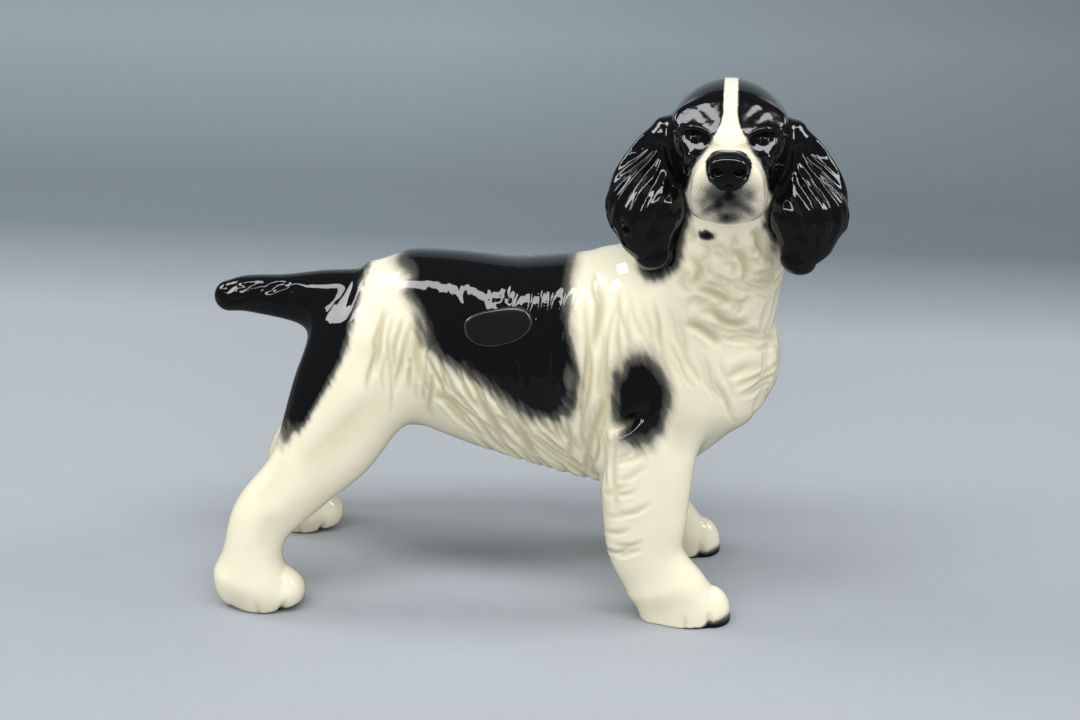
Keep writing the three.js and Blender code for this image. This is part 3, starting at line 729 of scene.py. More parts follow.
# Relief of the standing body: combed coat on both flanks, ruff, breast and toes.
def bodyRelief(points, normals):
    dents, burrs, lips = np.zeros((3, len(points)))
    sideView = points[:, (0, 2)]
    for side in (-1, 1):
        rng = np.random.default_rng(11 + side)
        weight = softStep(side * normals[:, 1], 0.05, 0.45) * softStep(side * points[:, 1], 1, 5)
        strokes = [(smoothLine(path, 60), *deepLocks["size"]) for path in deepLocks["paths"]]
        strokes += [stroke for rows in coat.values() for stroke in comb(rng, *rows)]
        strokes += [(smoothLine(path, 40), width, depth) for path, width, depth in softHollows]
        strokes += curls(rng, *ruff.values())
        if side < 0:
            weight = weight * softStep(ovalShare(*sideView.T, labelSpot) ** 2, 0.8, 1.5)
        drawStrokes(dents, burrs, sideView, weight, strokes)
        lip = (smoothLine(elbowLip["path"], 40), *elbowLip["size"])
        drawStrokes(lips, np.zeros(len(points)), sideView, weight, [lip])
    rng = np.random.default_rng(5)
    facing = softStep(normals[:, 0], 0.45, 0.8) * softStep(points[:, 2], 60, 68)
    front = [stroke for rows in frontCoat.values() for stroke in comb(rng, *rows)]
    front += curls(rng, *frontRuff.values())
    drawStrokes(dents, burrs, points[:, 1:], facing, front)
    for leg in legs.values():  # toes part along lines that fan out from the middle of the paw
        ahead = points[:, 0] - leg["heel"] - 0.5 * leg["length"]
        aside = points[:, 1] - leg["y"]
        out = np.hypot(ahead / leg["length"] * 2, aside / leg["halfWidth"])
        on = softStep(out, 0.45, 0.9) * (out < 1.6) * (1 - softStep(points[:, 2], 2, 7))
        for turn, depth in toes["lines"]:
            away = np.arctan2(aside, ahead) - np.radians(turn)
            gap = np.hypot(ahead, aside) * np.sin(away)
            parting = depth * on * (np.cos(away) > 0) * np.exp(-(gap / toes["lineWidth"]) ** 2)
            dents = np.maximum(dents, parting)
    return ((burrs + lips) * np.exp(-3 * dents) - dents) * softStep(points[:, 2], 0.1, 1.2)


# Ears: waved locks in the flap's own view, each point a share down its length and a share out across it
earLocks = {
    "deepSize": (0.85, 1.0),  # width and depth
    "deep": [
        [(0.06, -0.1), (0.2, 0.15), (0.35, 0.45), (0.5, 0.72)],
        [(0.12, -0.35), (0.3, -0.15), (0.48, 0.1), (0.66, 0.38), (0.82, 0.5)],
        [(0.18, -0.5), (0.35, -0.5), (0.5, -0.3), (0.68, -0.05), (0.85, 0.05), (0.95, 0.0)],
        [(0.3, -0.72), (0.45, -0.78), (0.6, -0.62), (0.75, -0.42), (0.9, -0.4)],
    ],
    "fineSize": (0.55, 0.3),
    "fine": [
        [(0.1, 0.12), (0.2, 0.38), (0.32, 0.66), (0.44, 0.86)],
        [(0.16, -0.12), (0.3, 0.12), (0.44, 0.32), (0.58, 0.58), (0.7, 0.7)],
        [(0.26, -0.32), (0.4, -0.14), (0.56, 0.06), (0.72, 0.28), (0.88, 0.34)],
        [(0.28, -0.62), (0.44, -0.62), (0.58, -0.42), (0.72, -0.2), (0.9, -0.2)],
        [(0.4, -0.88), (0.54, -0.9), (0.68, -0.74), (0.84, -0.66)],
        [(0.5, 0.58), (0.62, 0.74), (0.76, 0.74)],
    ],
    "length": 39.0,
    "lean": [  # share down, and mm that the front swells or sinks
        (0.0, -1.2), (0.1, -2.2), (0.2, -2.6), (0.3, -2.0), (0.4, -1.15), (0.5, 0.2), (0.58, 1.6),
        (0.68, 1.9), (0.8, 1.1), (0.92, 0.2), (1.0, 0.0),
    ],
    "wave": 0.2,  # mm, how far the locks swell and sink along their length
    "waveLength": 11.0,
}


# Strokes laid out on the ear: a share out across it becomes millimetres by the flap's half width there.
def earStrokes(paths, size):
    shares = np.linspace(0, 1, len(earTube["ring"]))
    strokes = []
    for path in paths:
        down, out = smoothLine(path, 60).T
        across = out * np.interp(down, shares, earTube["ring"][:, 6])
        strokes.append((np.stack([across, down * earLocks["length"]], 1), *size))
    return strokes


# Face: lines pressed in as seen from the front, aside and up, and their width and depth
face = {
    "mouth": [(0.0, -9.6), (2.6, -10.0), (5.6, -11.6), (8.6, -14.6)],
    "mouthSize": (0.7, 0.7),
    "cleft": [(0, -2.5), (0, -6), (0, -10)],
    "cleftSize": (0.6, 0.8),
    "browFolds": [[(8.6, 12.8), (6.8, 11.0), (5.0, 8.6)], [(12.2, 10.2), (10.0, 9.2), (8.2, 7.6)]],
    "foldSize": (0.9, 0.04),
    "ridge": (1.9, 0.35),  # half width and height of the low ridge that the blaze runs over
}


# Relief of the head: the neck's coat below, lines at mouth and brow, and on each ear its locks, a wave along
# them and a lean of the whole front.
def headRelief(points, normals):
    height = bodyRelief(points, normals) * (1 - softStep(points[:, 2], 137, 141))
    dents, burrs, swell = np.zeros((3, len(points)))
    place = toHead(points)
    ahead = normals @ headAxes[1]
    inFront = softStep(ahead, 0.1, 0.4) * softStep(place[:, 1], 30, 33)
    mouths = [[(side * x, z) for x, z in face["mouth"]] for side in (1, -1)]
    strokes = [(smoothLine(path, 30), *face["mouthSize"]) for path in mouths]
    strokes += [(smoothLine(face["cleft"], 20), *face["cleftSize"])]
    drawStrokes(dents, burrs, place[:, (0, 2)], inFront, strokes)
    onBrow = softStep(ahead, 0.4, 0.6) * softStep(place[:, 2], 5.5, 7.5) * (1 - softStep(place[:, 1], 19, 22))
    strokes = [(smoothLine(path, 30), *face["foldSize"]) for path in face["browFolds"]]
    drawStrokes(dents, burrs, np.stack([np.abs(place[:, 0]), place[:, 2]], 1), onBrow, strokes)
    core = coreDistance(points)
    strokes = earStrokes(earLocks["deep"], earLocks["deepSize"])
    strokes += earStrokes(earLocks["fine"], earLocks["fineSize"])
    for name, side in earSides.items():
        gap = earDistance(points, name)
        on = np.flatnonzero(gap < core + 1.0)
        share, across = placeIn(earTube, earPlace(points[on], name))[:2]
        down = share * earLocks["length"]
        weight = np.zeros(len(points))
        weight[on] = softStep(core[on] - gap[on], -0.5, 2.5) * softStep(share, 0.02, 0.14)
        weight[on] *= 1 - 0.6 * softStep(share, 0.64, 0.8)
        plane = np.zeros((len(points), 2))
        plane[on] = np.stack([across, down], 1)
        drawStrokes(dents, burrs, plane, weight, strokes)
        lane = np.stack([(across - 0.3 * (down - 10)) / 5.5, down / 20, np.full(len(on), side * 7.5)], 1)
        crest = np.sin(2 * np.pi * (down / earLocks["waveLength"] + 0.8 * mottle(lane, 31)))
        lean = tableAt(earLocks["lean"], share + 0.05 * mottle(lane * 1.6, 33))
        front = softStep(normals[on] @ headAxes[1], 0.1, 0.5) * softStep(share, 0.05, 0.2)
        swell[on] += (earLocks["wave"] * crest + lean) * front * weight[on]
    ridgeWidth, ridgeHeight = face["ridge"]
    swell += ridgeHeight * np.exp(-(place[:, 0] / ridgeWidth) ** 2) * onBrow
    return height + burrs * np.exp(-3 * dents) - dents + swell


# Sprayed black: outlines seen from the side, ovals, and soft edges that run along the lie of the coat
spray = {
    "saddle": [
        (-51, 132), (-50, 115), (-45.5, 113), (-41, 111.2), (-42.5, 107), (-39, 103.5), (-36.5, 98),
        (-34.5, 93), (-30.5, 88.4), (-24, 85.5), (-18.6, 82.5), (-13.5, 78.5), (-7, 73.5), (-1.5, 70.5),
        (5, 70), (9, 72.5), (11.2, 81), (10.6, 91.5), (9.6, 101), (8.8, 108), (9.5, 118), (9.5, 132),
    ],
    "strip": [  # height, and the x behind which the rump is black
        (57, -80), (64.6, -74.5), (71.7, -70.5), (78.3, -66.2), (87.3, -62), (93.4, -60.4), (99, -59.2),
        (104, -57.8), (109, -57), (116, -56),
    ],
    "blaze": [  # level in front view, and half width
        (-30, 16), (-17.2, 13.2), (-14.5, 11.6), (-12.6, 10.9), (-9.9, 9.4), (-7.2, 7.6), (-5.6, 6.9),
        (-3.3, 5.9), (-1.7, 5.1), (-0.2, 4.2), (1.4, 3.3), (2.9, 2.7), (6, 2.15), (30, 2.15),
    ],
    # ovals on the body, with the shares of their radius at which the black starts to thin and is gone
    "shoulder": {"x": 32.6, "z": 79.5, "halfWidth": 10.6, "halfHeight": 17.0, "thins": 0.42, "gone": 1.22},
    "farShoulder": {"x": 27.0, "z": 84.0, "halfWidth": 12.0, "halfHeight": 15.0, "thins": 0.6, "gone": 1.12},
    "smudge": {"x": 51.5, "z": 133.0, "halfWidth": 3.2, "halfHeight": 1.7, "thins": 0.4, "gone": 1.3},
    # ovals on the face, aside and up
    "lip": {"x": 0.0, "z": -3.2, "halfWidth": 4.7, "halfHeight": 2.7, "thins": 0.72, "gone": 1.12},
    "mouth": {"x": 0.0, "z": -8.2, "halfWidth": 9.6, "halfHeight": 6.2},
    "chin": {"x": 0.0, "z": -13.2, "halfWidth": 4.6, "halfHeight": 2.8},
    # mm that the black reaches up the tips of the toes
    "toes": {"left_foreleg": 3.6, "right_foreleg": 4.6, "left_hind_leg": 1.5, "right_hind_leg": 2.6},
}


# Signed distance to a closed outline, positive inside: the least distance to its edges, signed by crossings.
def insetIn(plane, outline):
    outline = np.asarray(outline, float)
    best = np.full(len(plane), 1e9)
    inside = np.zeros(len(plane), bool)
    for start, end in zip(outline, np.roll(outline, -1, 0)):
        edge = end - start
        share = np.clip(((plane - start) @ edge) / (edge @ edge), 0, 1)
        best = np.minimum(best, ((plane - start - share[:, None] * edge) ** 2).sum(1))
        level = (start[1] > plane[:, 1]) != (end[1] > plane[:, 1])
        slant = edge[0] * (plane[:, 1] - start[1]) / (edge[1] + 1e-9) + start[0]
        inside ^= level & (plane[:, 0] < slant)
    return np.where(inside, 1, -1) * np.sqrt(best)


# How black a sprayed oval is: full in its middle and thinning out towards its rim, which may stray.
def sprayedOval(across, up, oval, stray):
    return 1 - softStep(ovalShare(across, up, oval) + stray, oval["thins"], oval["gone"])


# Black on the body: the most of saddle, rump, shoulder patches, the shade under the ears, nape, a smudge on
# the throat and the tips of the toes. Streaks along the coat and the grooves make the edges ragged.
def bodySpray(points, height):
    x, y, z = points.T
    groove = np.minimum(height, 0)
    lie = np.stack([x * 0.86 + z * 0.5, y * 0.5, (z * 0.86 - x * 0.5) * 0.16], 1)  # down and forward
    streak = mottle(lie / 0.9, 3) * 1.5 + mottle(lie / 2.4, 4) * 1.5 - 2.6 * groove
    fine = mottle(points / 0.9, 9)
    ragged = streak * (0.65 - 0.5 * softStep(z, 96, 108))
    saddle = softStep(insetIn(points[:, (0, 2)], spray["saddle"]) + ragged, -4.2, 5.0)
    behind = tableAt(spray["strip"], z) - x
    strip = softStep(behind + 0.4 * streak, -2.2, 2.4) * softStep(z + streak, 54, 68)
    shoulder = sprayedOval(x, z, spray["shoulder"], 0.045 * streak) * softStep(-y, 8, 14)
    farShoulder = sprayedOval(x, z, spray["farShoulder"], 0.03 * streak) * softStep(y, 8, 14)
    earGap = np.minimum(*[earDistance(points, name) for name in earSides])
    underEar = 0.9 * (1 - softStep(earGap + 0.4 * streak, 0.2, 5.5))
    nape = softStep(z + 0.8 * streak, 129, 138) * softStep(y + 0.3 * x - 17, -4, 6)
    smudge = 0.85 * sprayedOval(x, z, spray["smudge"], 0.35 * mottle(lie / 0.8, 12)) * (y < 0)
    black = np.max([saddle, strip, shoulder, farShoulder, underEar, nape, smudge], axis=0)
    for name, leg in legs.items():
        ahead = (x - leg["heel"]) / leg["length"]
        near = (np.abs(y - leg["y"]) < leg["halfWidth"] + 3) & (ahead < 1.3)
        top = 0.3 + spray["toes"][name] * softStep(ahead, 0.5, 1.0) ** 1.5 - 1.5 * groove
        toe = softStep(ahead, 0.35, 0.6) * (1 - softStep(z + 0.3 * fine, 0.1 * top, 1.2 * top + 0.2)) * near
        black = np.maximum(black, toe)
    return np.clip(black, 0, 1)


# Black on the head: all but blaze, muzzle and throat, then nose, upper lip and a grey haze round mouth and
# chin. The neck's colours run on a little over the joint, and the ears are worn at their tips.
def headSpray(points, height):
    place = toHead(points)
    aside, ahead, up = place.T
    fine = mottle(points / 0.8, 21)
    soft = mottle(points / 2.4, 22)
    level = up * 0.9455 - ahead * 0.3256  # as the face is seen from a little above
    width = tableAt(spray["blaze"], level) - np.abs(aside) + 0.12 * fine
    width = width + 0.25 * soft * softStep(-level, -2, 4)
    feather = 0.35 + 1.1 * softStep(-level, -3, 6)
    cream = softStep(width / feather, -1, 1) * softStep(ahead, -14, -11)
    throat = softStep(-up + 0.7 * soft, 12.5, 16) * softStep(ahead, 2, 8)
    nose = 1 - softStep(tubeDistance(noseTube, place) + 0.12 * fine, 0.2, 0.9)
    lip = sprayedOval(aside, up, spray["lip"], 0.06 * fine) * (ahead > 36)
    mouth = 0.8 * np.exp(-ovalShare(aside, up, spray["mouth"]) ** 2 * 1.1)
    chin = 0.75 * np.exp(-ovalShare(aside, up, spray["chin"]) ** 2)
    haze = np.maximum(mouth, chin) * softStep(ahead, 28, 35) * (1 + 0.25 * soft) - 0.15 * height
    black = np.max([1 - np.maximum(cream, throat), nose, lip, haze], axis=0)
    gaps = np.stack([earDistance(points, name) for name in earSides])
    onEar = softStep(coreDistance(points) - gaps.min(0), -1.5, 0.5)
    onNeck = 1 - softStep(points[:, 2] - body["headJoint"], 0, 5)
    worn = 1 - 0.12 * softStep(-up + 1.6 * soft, 34, 42)
    black = black + (bodySpray(points, height) - black) * onNeck
    black = black + (worn - black) * onEar
    return np.clip(black, 0, 1)


# The glaze evens the relief; hollows and grooves get a darker tone, partly glaze that pools, partly painted
# shade.
settling = {"evened": 0.25, "byCurve": 0.9, "gain": 1.2, "byDepth": 0.65}  # how glaze evens and fills relief


# Finish a skin: press the coat in, then note how hollow and how deep each point lies, for a darker tone there
# that is partly pooled glaze and partly painted shade.
def finishSkin(points, faces, relief, sprayed):
    normals = pointNormals(points, faces)
    height = relief(points, normals)
    black = sprayed(points, height)
    raised = points + normals * height[:, None]
    raised = raised + settling["evened"] * (neighbourMean(raised, faces) - raised)
    normals = pointNormals(raised, faces)
    hollow = ((neighbourMean(raised, faces) - raised) * normals).sum(1)
    spacing = np.linalg.norm(raised[faces[:, 0]] - raised[faces[:, 1]], axis=1).mean()
    # Painted shade: the darker tone follows hollows and grooves, as pooled glaze and as the shade that falls
    # in them.
    poolAndShade = np.clip(hollow / spacing ** 2 * settling["byCurve"], 0, 1)
    for turn in range(3):
        poolAndShade = 0.5 * poolAndShade + 0.5 * neighbourMean(poolAndShade[:, None], faces)[:, 0]
    poolAndShade = np.clip(poolAndShade * settling["gain"] - settling["byDepth"] * np.minimum(height, 0), 0, 1)
    return raised, normals, black, poolAndShade


bodyParted = np.argmin(bodyParts(bodyPoints[bodyFaces].mean(1)), axis=0)
headMiddles = headPoints[headFaces].mean(1)
headParted = np.argmin(headParts(headMiddles), axis=0)
bodyFinished = finishSkin(bodyPoints, bodyFaces, bodyRelief, bodySpray)
print("coat pressed into the body")
headFinished = finishSkin(headPoints, headFaces, headRelief, headSpray)
print("coat pressed into the head and ears")


# Linear colour of an sRGB hex code.
def linear(code):
    channels = np.array([int(code[k:k + 2], 16) for k in (1, 3, 5)]) / 255
    channels = np.where(channels <= 0.04045, channels / 12.92, ((channels + 0.055) / 1.055) ** 2.4)
    return tuple(float(c) for c in channels) + (1.0,)


# Adds one node: plain settings by name, inputs by socket name or number, linked where a socket is given.
def addNode(tree, kind, inputs=None, **settings):
    node = tree.nodes.new(kind)
    for name, value in settings.items():
        setattr(node, name, value)
    for name, value in (inputs or {}).items():
        if isinstance(value, bpy.types.NodeSocket):
            tree.links.new(value, node.inputs[name])
        else:
            node.inputs[name].default_value = value
    return node


# A material with an empty node tree.
def newMaterial(name):
    material = bpy.data.materials.new(name)
    material.use_nodes = True
    material.node_tree.nodes.clear()
    return material, material.node_tree


# Glazed earthenware: cream body under a clear glossy glaze, with black sprayed on before glazing. The glaze
# is wavy, its colour is painted darker in hollows and grooves, partly for glaze that pools and partly as
# painted shade, and the spray thins to a speckled brown-grey at its edges.
glazeLook = {
    "cream": "#efe7cd",
    # darker tone in hollows and grooves: pooled glaze and painted shade
    "pooledShade": "#ccc3a0",
    "thinSpray": "#77746a",
    "black": "#0b0b0c",
    "speckle": 0.4,  # mm, grains of sprayed colour
    "cloud": 14.0,  # mm, drift in the body's colour
    "ripple": 3.0,  # mm, waves of the fired glaze
    "rippleBump": 0.05,
    "rippleDepth": 0.4,  # mm
    "roughness": 0.05,
    "ior": 1.52,
}


# Cream turns to a darker tone in hollows and grooves, painted partly for pooled glaze and partly as shade,
# and with a slow drift. Over it the spray, broken into specks where it is half thick, lays brown-grey and
# then black.
def glazedEarthenware(look):
    material, tree = newMaterial("glazed earthenware")
    coords = addNode(tree, "ShaderNodeTexCoord").outputs["Object"]
    sprayed = addNode(tree, "ShaderNodeAttribute", attribute_name="spray").outputs["Fac"]
    pooledShade = addNode(tree, "ShaderNodeAttribute", attribute_name="poolAndShade").outputs["Fac"]
    noise = {}
    for name, detail in (("speckle", 1.0), ("cloud", 3.0), ("ripple", 1.0)):
        scale = 1000 / look[name]  # from a size in millimetres
        pattern = addNode(tree, "ShaderNodeTexNoise", {"Vector": coords, "Scale": scale, "Detail": detail})
        noise[name] = pattern.outputs["Fac"]
    shade = addNode(tree, "ShaderNodeMapRange", {"Value": noise["cloud"], 1: 0.35, 2: 0.7, 3: 0.0, 4: 0.16})
    # Painted shade: the pooled tone in hollows and grooves, plus a slow drift in the body's colour.
    depth = addNode(tree, "ShaderNodeMath", {0: pooledShade, 1: shade.outputs[0]}, operation="ADD", use_clamp=True)
    cream = addNode(tree, "ShaderNodeMix", {
        0: depth.outputs[0], 6: linear(look["cream"]), 7: linear(look["pooledShade"])}, data_type="RGBA")
    edge = addNode(tree, "ShaderNodeMath", {0: 1.0, 1: sprayed}, operation="SUBTRACT")
    edge = addNode(tree, "ShaderNodeMath", {0: sprayed, 1: edge.outputs[0]}, operation="MULTIPLY")
    specks = addNode(tree, "ShaderNodeMapRange", {"Value": noise["speckle"], 1: 0.3, 2: 0.7, 3: -0.2, 4: 0.2})
    specks = addNode(tree, "ShaderNodeMath", {0: specks.outputs[0], 1: edge.outputs[0]}, operation="MULTIPLY")
    cover = addNode(tree, "ShaderNodeMath", {
        0: specks.outputs[0], 1: sprayed}, operation="ADD", use_clamp=True).outputs[0]
    thin = addNode(tree, "ShaderNodeMapRange", {"Value": cover, 1: 0.0, 2: 0.5, 3: 0.0, 4: 1.0})
    thick = addNode(tree, "ShaderNodeMapRange", {"Value": cover, 1: 0.25, 2: 0.85, 3: 0.0, 4: 1.0})
    tint = addNode(tree, "ShaderNodeMix", {
        0: thin.outputs[0], 6: cream.outputs[2], 7: linear(look["thinSpray"])}, data_type="RGBA")
    colour = addNode(tree, "ShaderNodeMix", {
        0: thick.outputs[0], 6: tint.outputs[2], 7: linear(look["black"])}, data_type="RGBA")
    bump = addNode(tree, "ShaderNodeBump", {
        "Height": noise["ripple"], "Strength": look["rippleBump"], "Distance": look["rippleDepth"] / 1000})
    glaze = addNode(tree, "ShaderNodeBsdfPrincipled", {
        "Base Color": colour.outputs[2], "Roughness": look["roughness"], "IOR": look["ior"],
        "Normal": bump.outputs[0]})
    addNode(tree, "ShaderNodeOutputMaterial", {"Surface": glaze.outputs[0]})
    return material


earthenware = glazedEarthenware(glazeLook)


# Puts points and faces into a mesh object at the origin; faces may have three or four corners.
def meshObject(name, points, faces, material):
    mesh = bpy.data.meshes.new(name)
    mesh.from_pydata(toFrame(points).tolist(), [], [face for rows in faces for face in rows.tolist()])
    mesh.polygons.foreach_set("use_smooth", np.ones(len(mesh.polygons), bool))
    mesh.materials.append(material)
    mesh.update()
    piece = bpy.data.objects.new(name, mesh)
    bpy.context.scene.collection.objects.link(piece)
    return piece


# Closes the open rims of a set of faces with a fan to each rim's middle. Rims are told apart by passing the
# least point number along them until nothing changes.
def closeRims(points, faces):
    pairs = np.stack([faces, np.roll(faces, -1, 1)], -1).reshape(-1, 2)
    there, back = (way[:, 0] * len(points) + way[:, 1] for way in (pairs, pairs[:, ::-1]))
    rim = pairs[~np.isin(there, back)]  # edges that no neighbour runs along the other way
    if not len(rim):
        return points, np.empty((0, 3), int), 0
    mark = np.arange(len(points))
    while True:
        least = np.minimum(mark[rim[:, 0]], mark[rim[:, 1]])
        before = mark.copy()
        np.minimum.at(mark, rim[:, 0], least)
        np.minimum.at(mark, rim[:, 1], least)
        if (mark == before).all():
            break
    rims, which = np.unique(mark[rim[:, 0]], return_inverse=True)
    middles = gather(which, points[rim[:, 0]], len(rims)) / np.bincount(which)[:, None]
    fan = np.stack([rim[:, 1], rim[:, 0], len(points) + which], 1)
    return np.vstack([points, middles]), fan, len(rims)


# One casting: its share of a finished skin, closed at the joints, in place of the CAD node of that name.
def casting(node, finished, faces):
    points, normals, black, poolAndShade = finished
    used, corners = np.unique(faces, return_inverse=True)
    corners = corners.reshape(faces.shape)
    closed, fan, rims = closeRims(points[used], corners)
    piece = meshObject(node + "_glazed", closed, [corners, fan], earthenware)
    mesh = piece.data
    for name, values in (("spray", black[used]), ("poolAndShade", poolAndShade[used])):
        layer = mesh.attributes.new(name, "FLOAT", "POINT")
        layer.data.foreach_set("value", np.concatenate([values, np.zeros(rims)]).astype(np.float32))
    pointing = np.vstack([normals[used], np.tile((0.0, 0.0, 1.0), (rims, 1))])
    mesh.normals_split_custom_set_from_vertices(pointing.tolist())
    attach(piece, "root")
    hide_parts(node)
    print(node, "cast with", 2 * len(corners) + len(fan), "triangles")
    return piece


bodyNames = ["body", "tail"] + list(legs)
joint = body["headJoint"]
belowJoint = bodyPoints[bodyFaces][:, :, 2].max(1) < joint
for index, node in enumerate(bodyNames):
    chosen = bodyFaces[(bodyParted == index) & belowJoint]
    casting(node, bodyFinished, chosen)

# The head's skin runs on inside the neck for a short tongue, drawn in so that only the neck shows.
tongue = {"length": 2.2, "startsBelow": 1.0, "slant": 0.5}
raised, headNormals, headBlack, headPoolAndShade = headFinished
tuck = np.clip(joint - tongue["startsBelow"] - headPoints[:, 2], 0, tongue["length"]) * tongue["slant"]
tuck = tuck * (np.argmin(headParts(headPoints), axis=0) == 0)
headFinished = (raised - headNormals * tuck[:, None], headNormals, headBlack, headPoolAndShade)
aboveJoint = headMiddles[:, 2] > joint - tongue["length"]
casting("head", headFinished, headFaces[(headParted == 0) & aboveJoint])
for index, node in enumerate(earSides):
    casting(node, headFinished, headFaces[headParted == index + 1])

# Label: a thin oval film that follows the flank
label = {
    "x": -12.5,
    "angle": 34.0,  # degrees above the widest part of the flank
    "tilt": 19.0,  # degrees, front end up
    "halfLength": 11.0,
    "halfHeight": 5.5,
    "standOff": 0.3,
    "thickness": 0.25,
    "film": "#141416",
    "rim": "#4b4d52",
    "wear": 1.5,  # mm, patches where the film is duller
    "roughness": (0.12, 0.2),
    "ior": 1.5,
}


# Rings and spokes of a full oval, tilted, bent round the torso's rings and settled onto the skin along its
# slope, then doubled into a thin plate with a softened rim.
def flankLabel(spec):
    rings, spokes = 10, 72
    shares = np.linspace(0, 1, rings + 1)[1:, None]
    turn = np.linspace(0, 2 * np.pi, spokes, endpoint=False)[None]
    power = 2 / 2.5  # a little fuller than an ellipse
    long = spec["halfLength"] * shares * np.sign(np.cos(turn)) * np.abs(np.cos(turn)) ** power
    high = spec["halfHeight"] * shares * np.sign(np.sin(turn)) * np.abs(np.sin(turn)) ** power
    tilt = np.radians(spec["tilt"])
    along = np.append(0, long * np.cos(tilt) - high * np.sin(tilt))
    around = np.append(0, long * np.sin(tilt) + high * np.cos(tilt))
    x = spec["x"] + along
    line, ring = torsoTube["line"], torsoTube["ring"]
    height = np.interp(x, line[:, 0], line[:, 2])
    wide, deep = (np.interp(x, line[:, 0], ring[:, k]) for k in (6, 7))
    angle = np.radians(spec["angle"])
    angles = np.pi - angle - around / np.hypot(wide[0] * np.sin(angle), deep[0] * np.cos(angle))
    points = np.stack([x, wide * np.cos(angles), height + deep * np.sin(angles)], 1)
    for settle in range(3):
        here = bodySkin(points)
        slope = slopeAt(bodySkin, points, here)
        points = points - slope * (here / (slope ** 2).sum(1))[:, None]
    outward = unit(slope)
    rounded = np.append(1, np.repeat(np.where(shares[:, 0] > 0.99, 0.3, 1), spokes))  # thinner at the rim
    lift = spec["standOff"] + spec["thickness"] - spec["thickness"] * (1 - rounded)
    sheet = len(points)
    both = np.vstack([points + outward * spec["standOff"], points + outward * lift[:, None]])
    s = np.arange(spokes)
    nextS = (s + 1) % spokes
    centreFaces = np.stack([np.zeros(spokes, int), 1 + s, 1 + nextS], 1)
    bands = np.arange(rings - 1)[:, None] * spokes + 1
    square = [bands + s, bands + spokes + s, bands + spokes + nextS, bands + nextS]
    quads = np.stack(square, -1).reshape(-1, 4)
    outer = 1 + (rings - 1) * spokes
    edge = np.stack([outer + s, outer + nextS, sheet + outer + nextS, sheet + outer + s], 1)
    triangles = np.vstack([centreFaces[:, ::-1], centreFaces + sheet])
    squares = np.vstack([quads[:, ::-1], quads + sheet, edge])
    fromRim = np.append(0, np.repeat(shares[:, 0], spokes))
    return both, [triangles, squares], np.tile(fromRim, 2)


# Satin dark film: smooth and plain, duller in patches, with a fine pale line just inside its edge.
def labelFilm(spec):
    smooth, worn = spec["roughness"]
    material, tree = newMaterial("satin label film")
    ring = addNode(tree, "ShaderNodeAttribute", attribute_name="ring").outputs["Fac"]
    coords = addNode(tree, "ShaderNodeTexCoord").outputs["Object"]
    wear = addNode(tree, "ShaderNodeTexNoise", {
        "Vector": coords, "Scale": 1000 / spec["wear"], "Detail": 3.0}).outputs["Fac"]
    line = addNode(tree, "ShaderNodeMapRange", {"Value": ring, 1: 0.93, 2: 0.97, 3: 0.0, 4: 1.0})
    faded = addNode(tree, "ShaderNodeMath", {0: line.outputs[0], 1: wear}, operation="MULTIPLY")
    colour = addNode(tree, "ShaderNodeMix", {
        0: faded.outputs[0], 6: linear(spec["film"]), 7: linear(spec["rim"])}, data_type="RGBA")
    dull = addNode(tree, "ShaderNodeMapRange", {"Value": wear, 1: 0.3, 2: 0.7, 3: smooth, 4: worn})
    film = addNode(tree, "ShaderNodeBsdfPrincipled", {
        "Base Color": colour.outputs[2], "Roughness": dull.outputs[0], "IOR": spec["ior"]})
    addNode(tree, "ShaderNodeOutputMaterial", {"Surface": film.outputs[0]})
    return material


labelPoints, labelFaces, labelRing = flankLabel(label)
labelPiece = meshObject("flank_label_film", labelPoints, labelFaces, labelFilm(label))
layer = labelPiece.data.attributes.new("ring", "FLOAT", "POINT")
layer.data.foreach_set("value", labelRing.astype(np.float32))
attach(labelPiece, "root")
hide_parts("flank_label")
print("label laid on the flank")

# Stage: one long sheet of grey-blue paper that sweeps up far behind it. Painted shade darkens the floor
# behind the
# figure: a dark band, lighter further back, and darker towards the side away from the window lamp.
paper = {
    "floor": "#a3a8ac",
    # painted reflection: a darker floor tone seen only in the glaze
    "floorInGloss": "#565b5f",  # how the floor shows in the glaze
    # painted shade behind the figure, lighter further back and darker on the side away from the window lamp
    "shadeBand": "#717c81",
    "lighterShade": "#9aa6ab",
    # painted shade on the side away from the window lamp
    "farSideShade": "#525a5e",  # towards the side away from the window
    "wallBack": "#c3ced2",
    "ramps": {  # where each tone takes over, from and to in metres, and how much of it
        "shadeBand": (0.22, 0.32, 0.95),
        "lighterShade": (0.385, 0.64, 1.0),
        "farSideShade": (-0.12, 0.43, 0.8),  # across the sheet, the others along it
        "wallBack": (0.85, 1.15, 1.0),
    },
    "fibre": 6.0,  # mm
    "roughness": 0.85,
    "width": 1.5,
    "front": -0.26,
    "bend": 1.15,
    "bendRadius": 0.15,
    "height": 1.4,
}


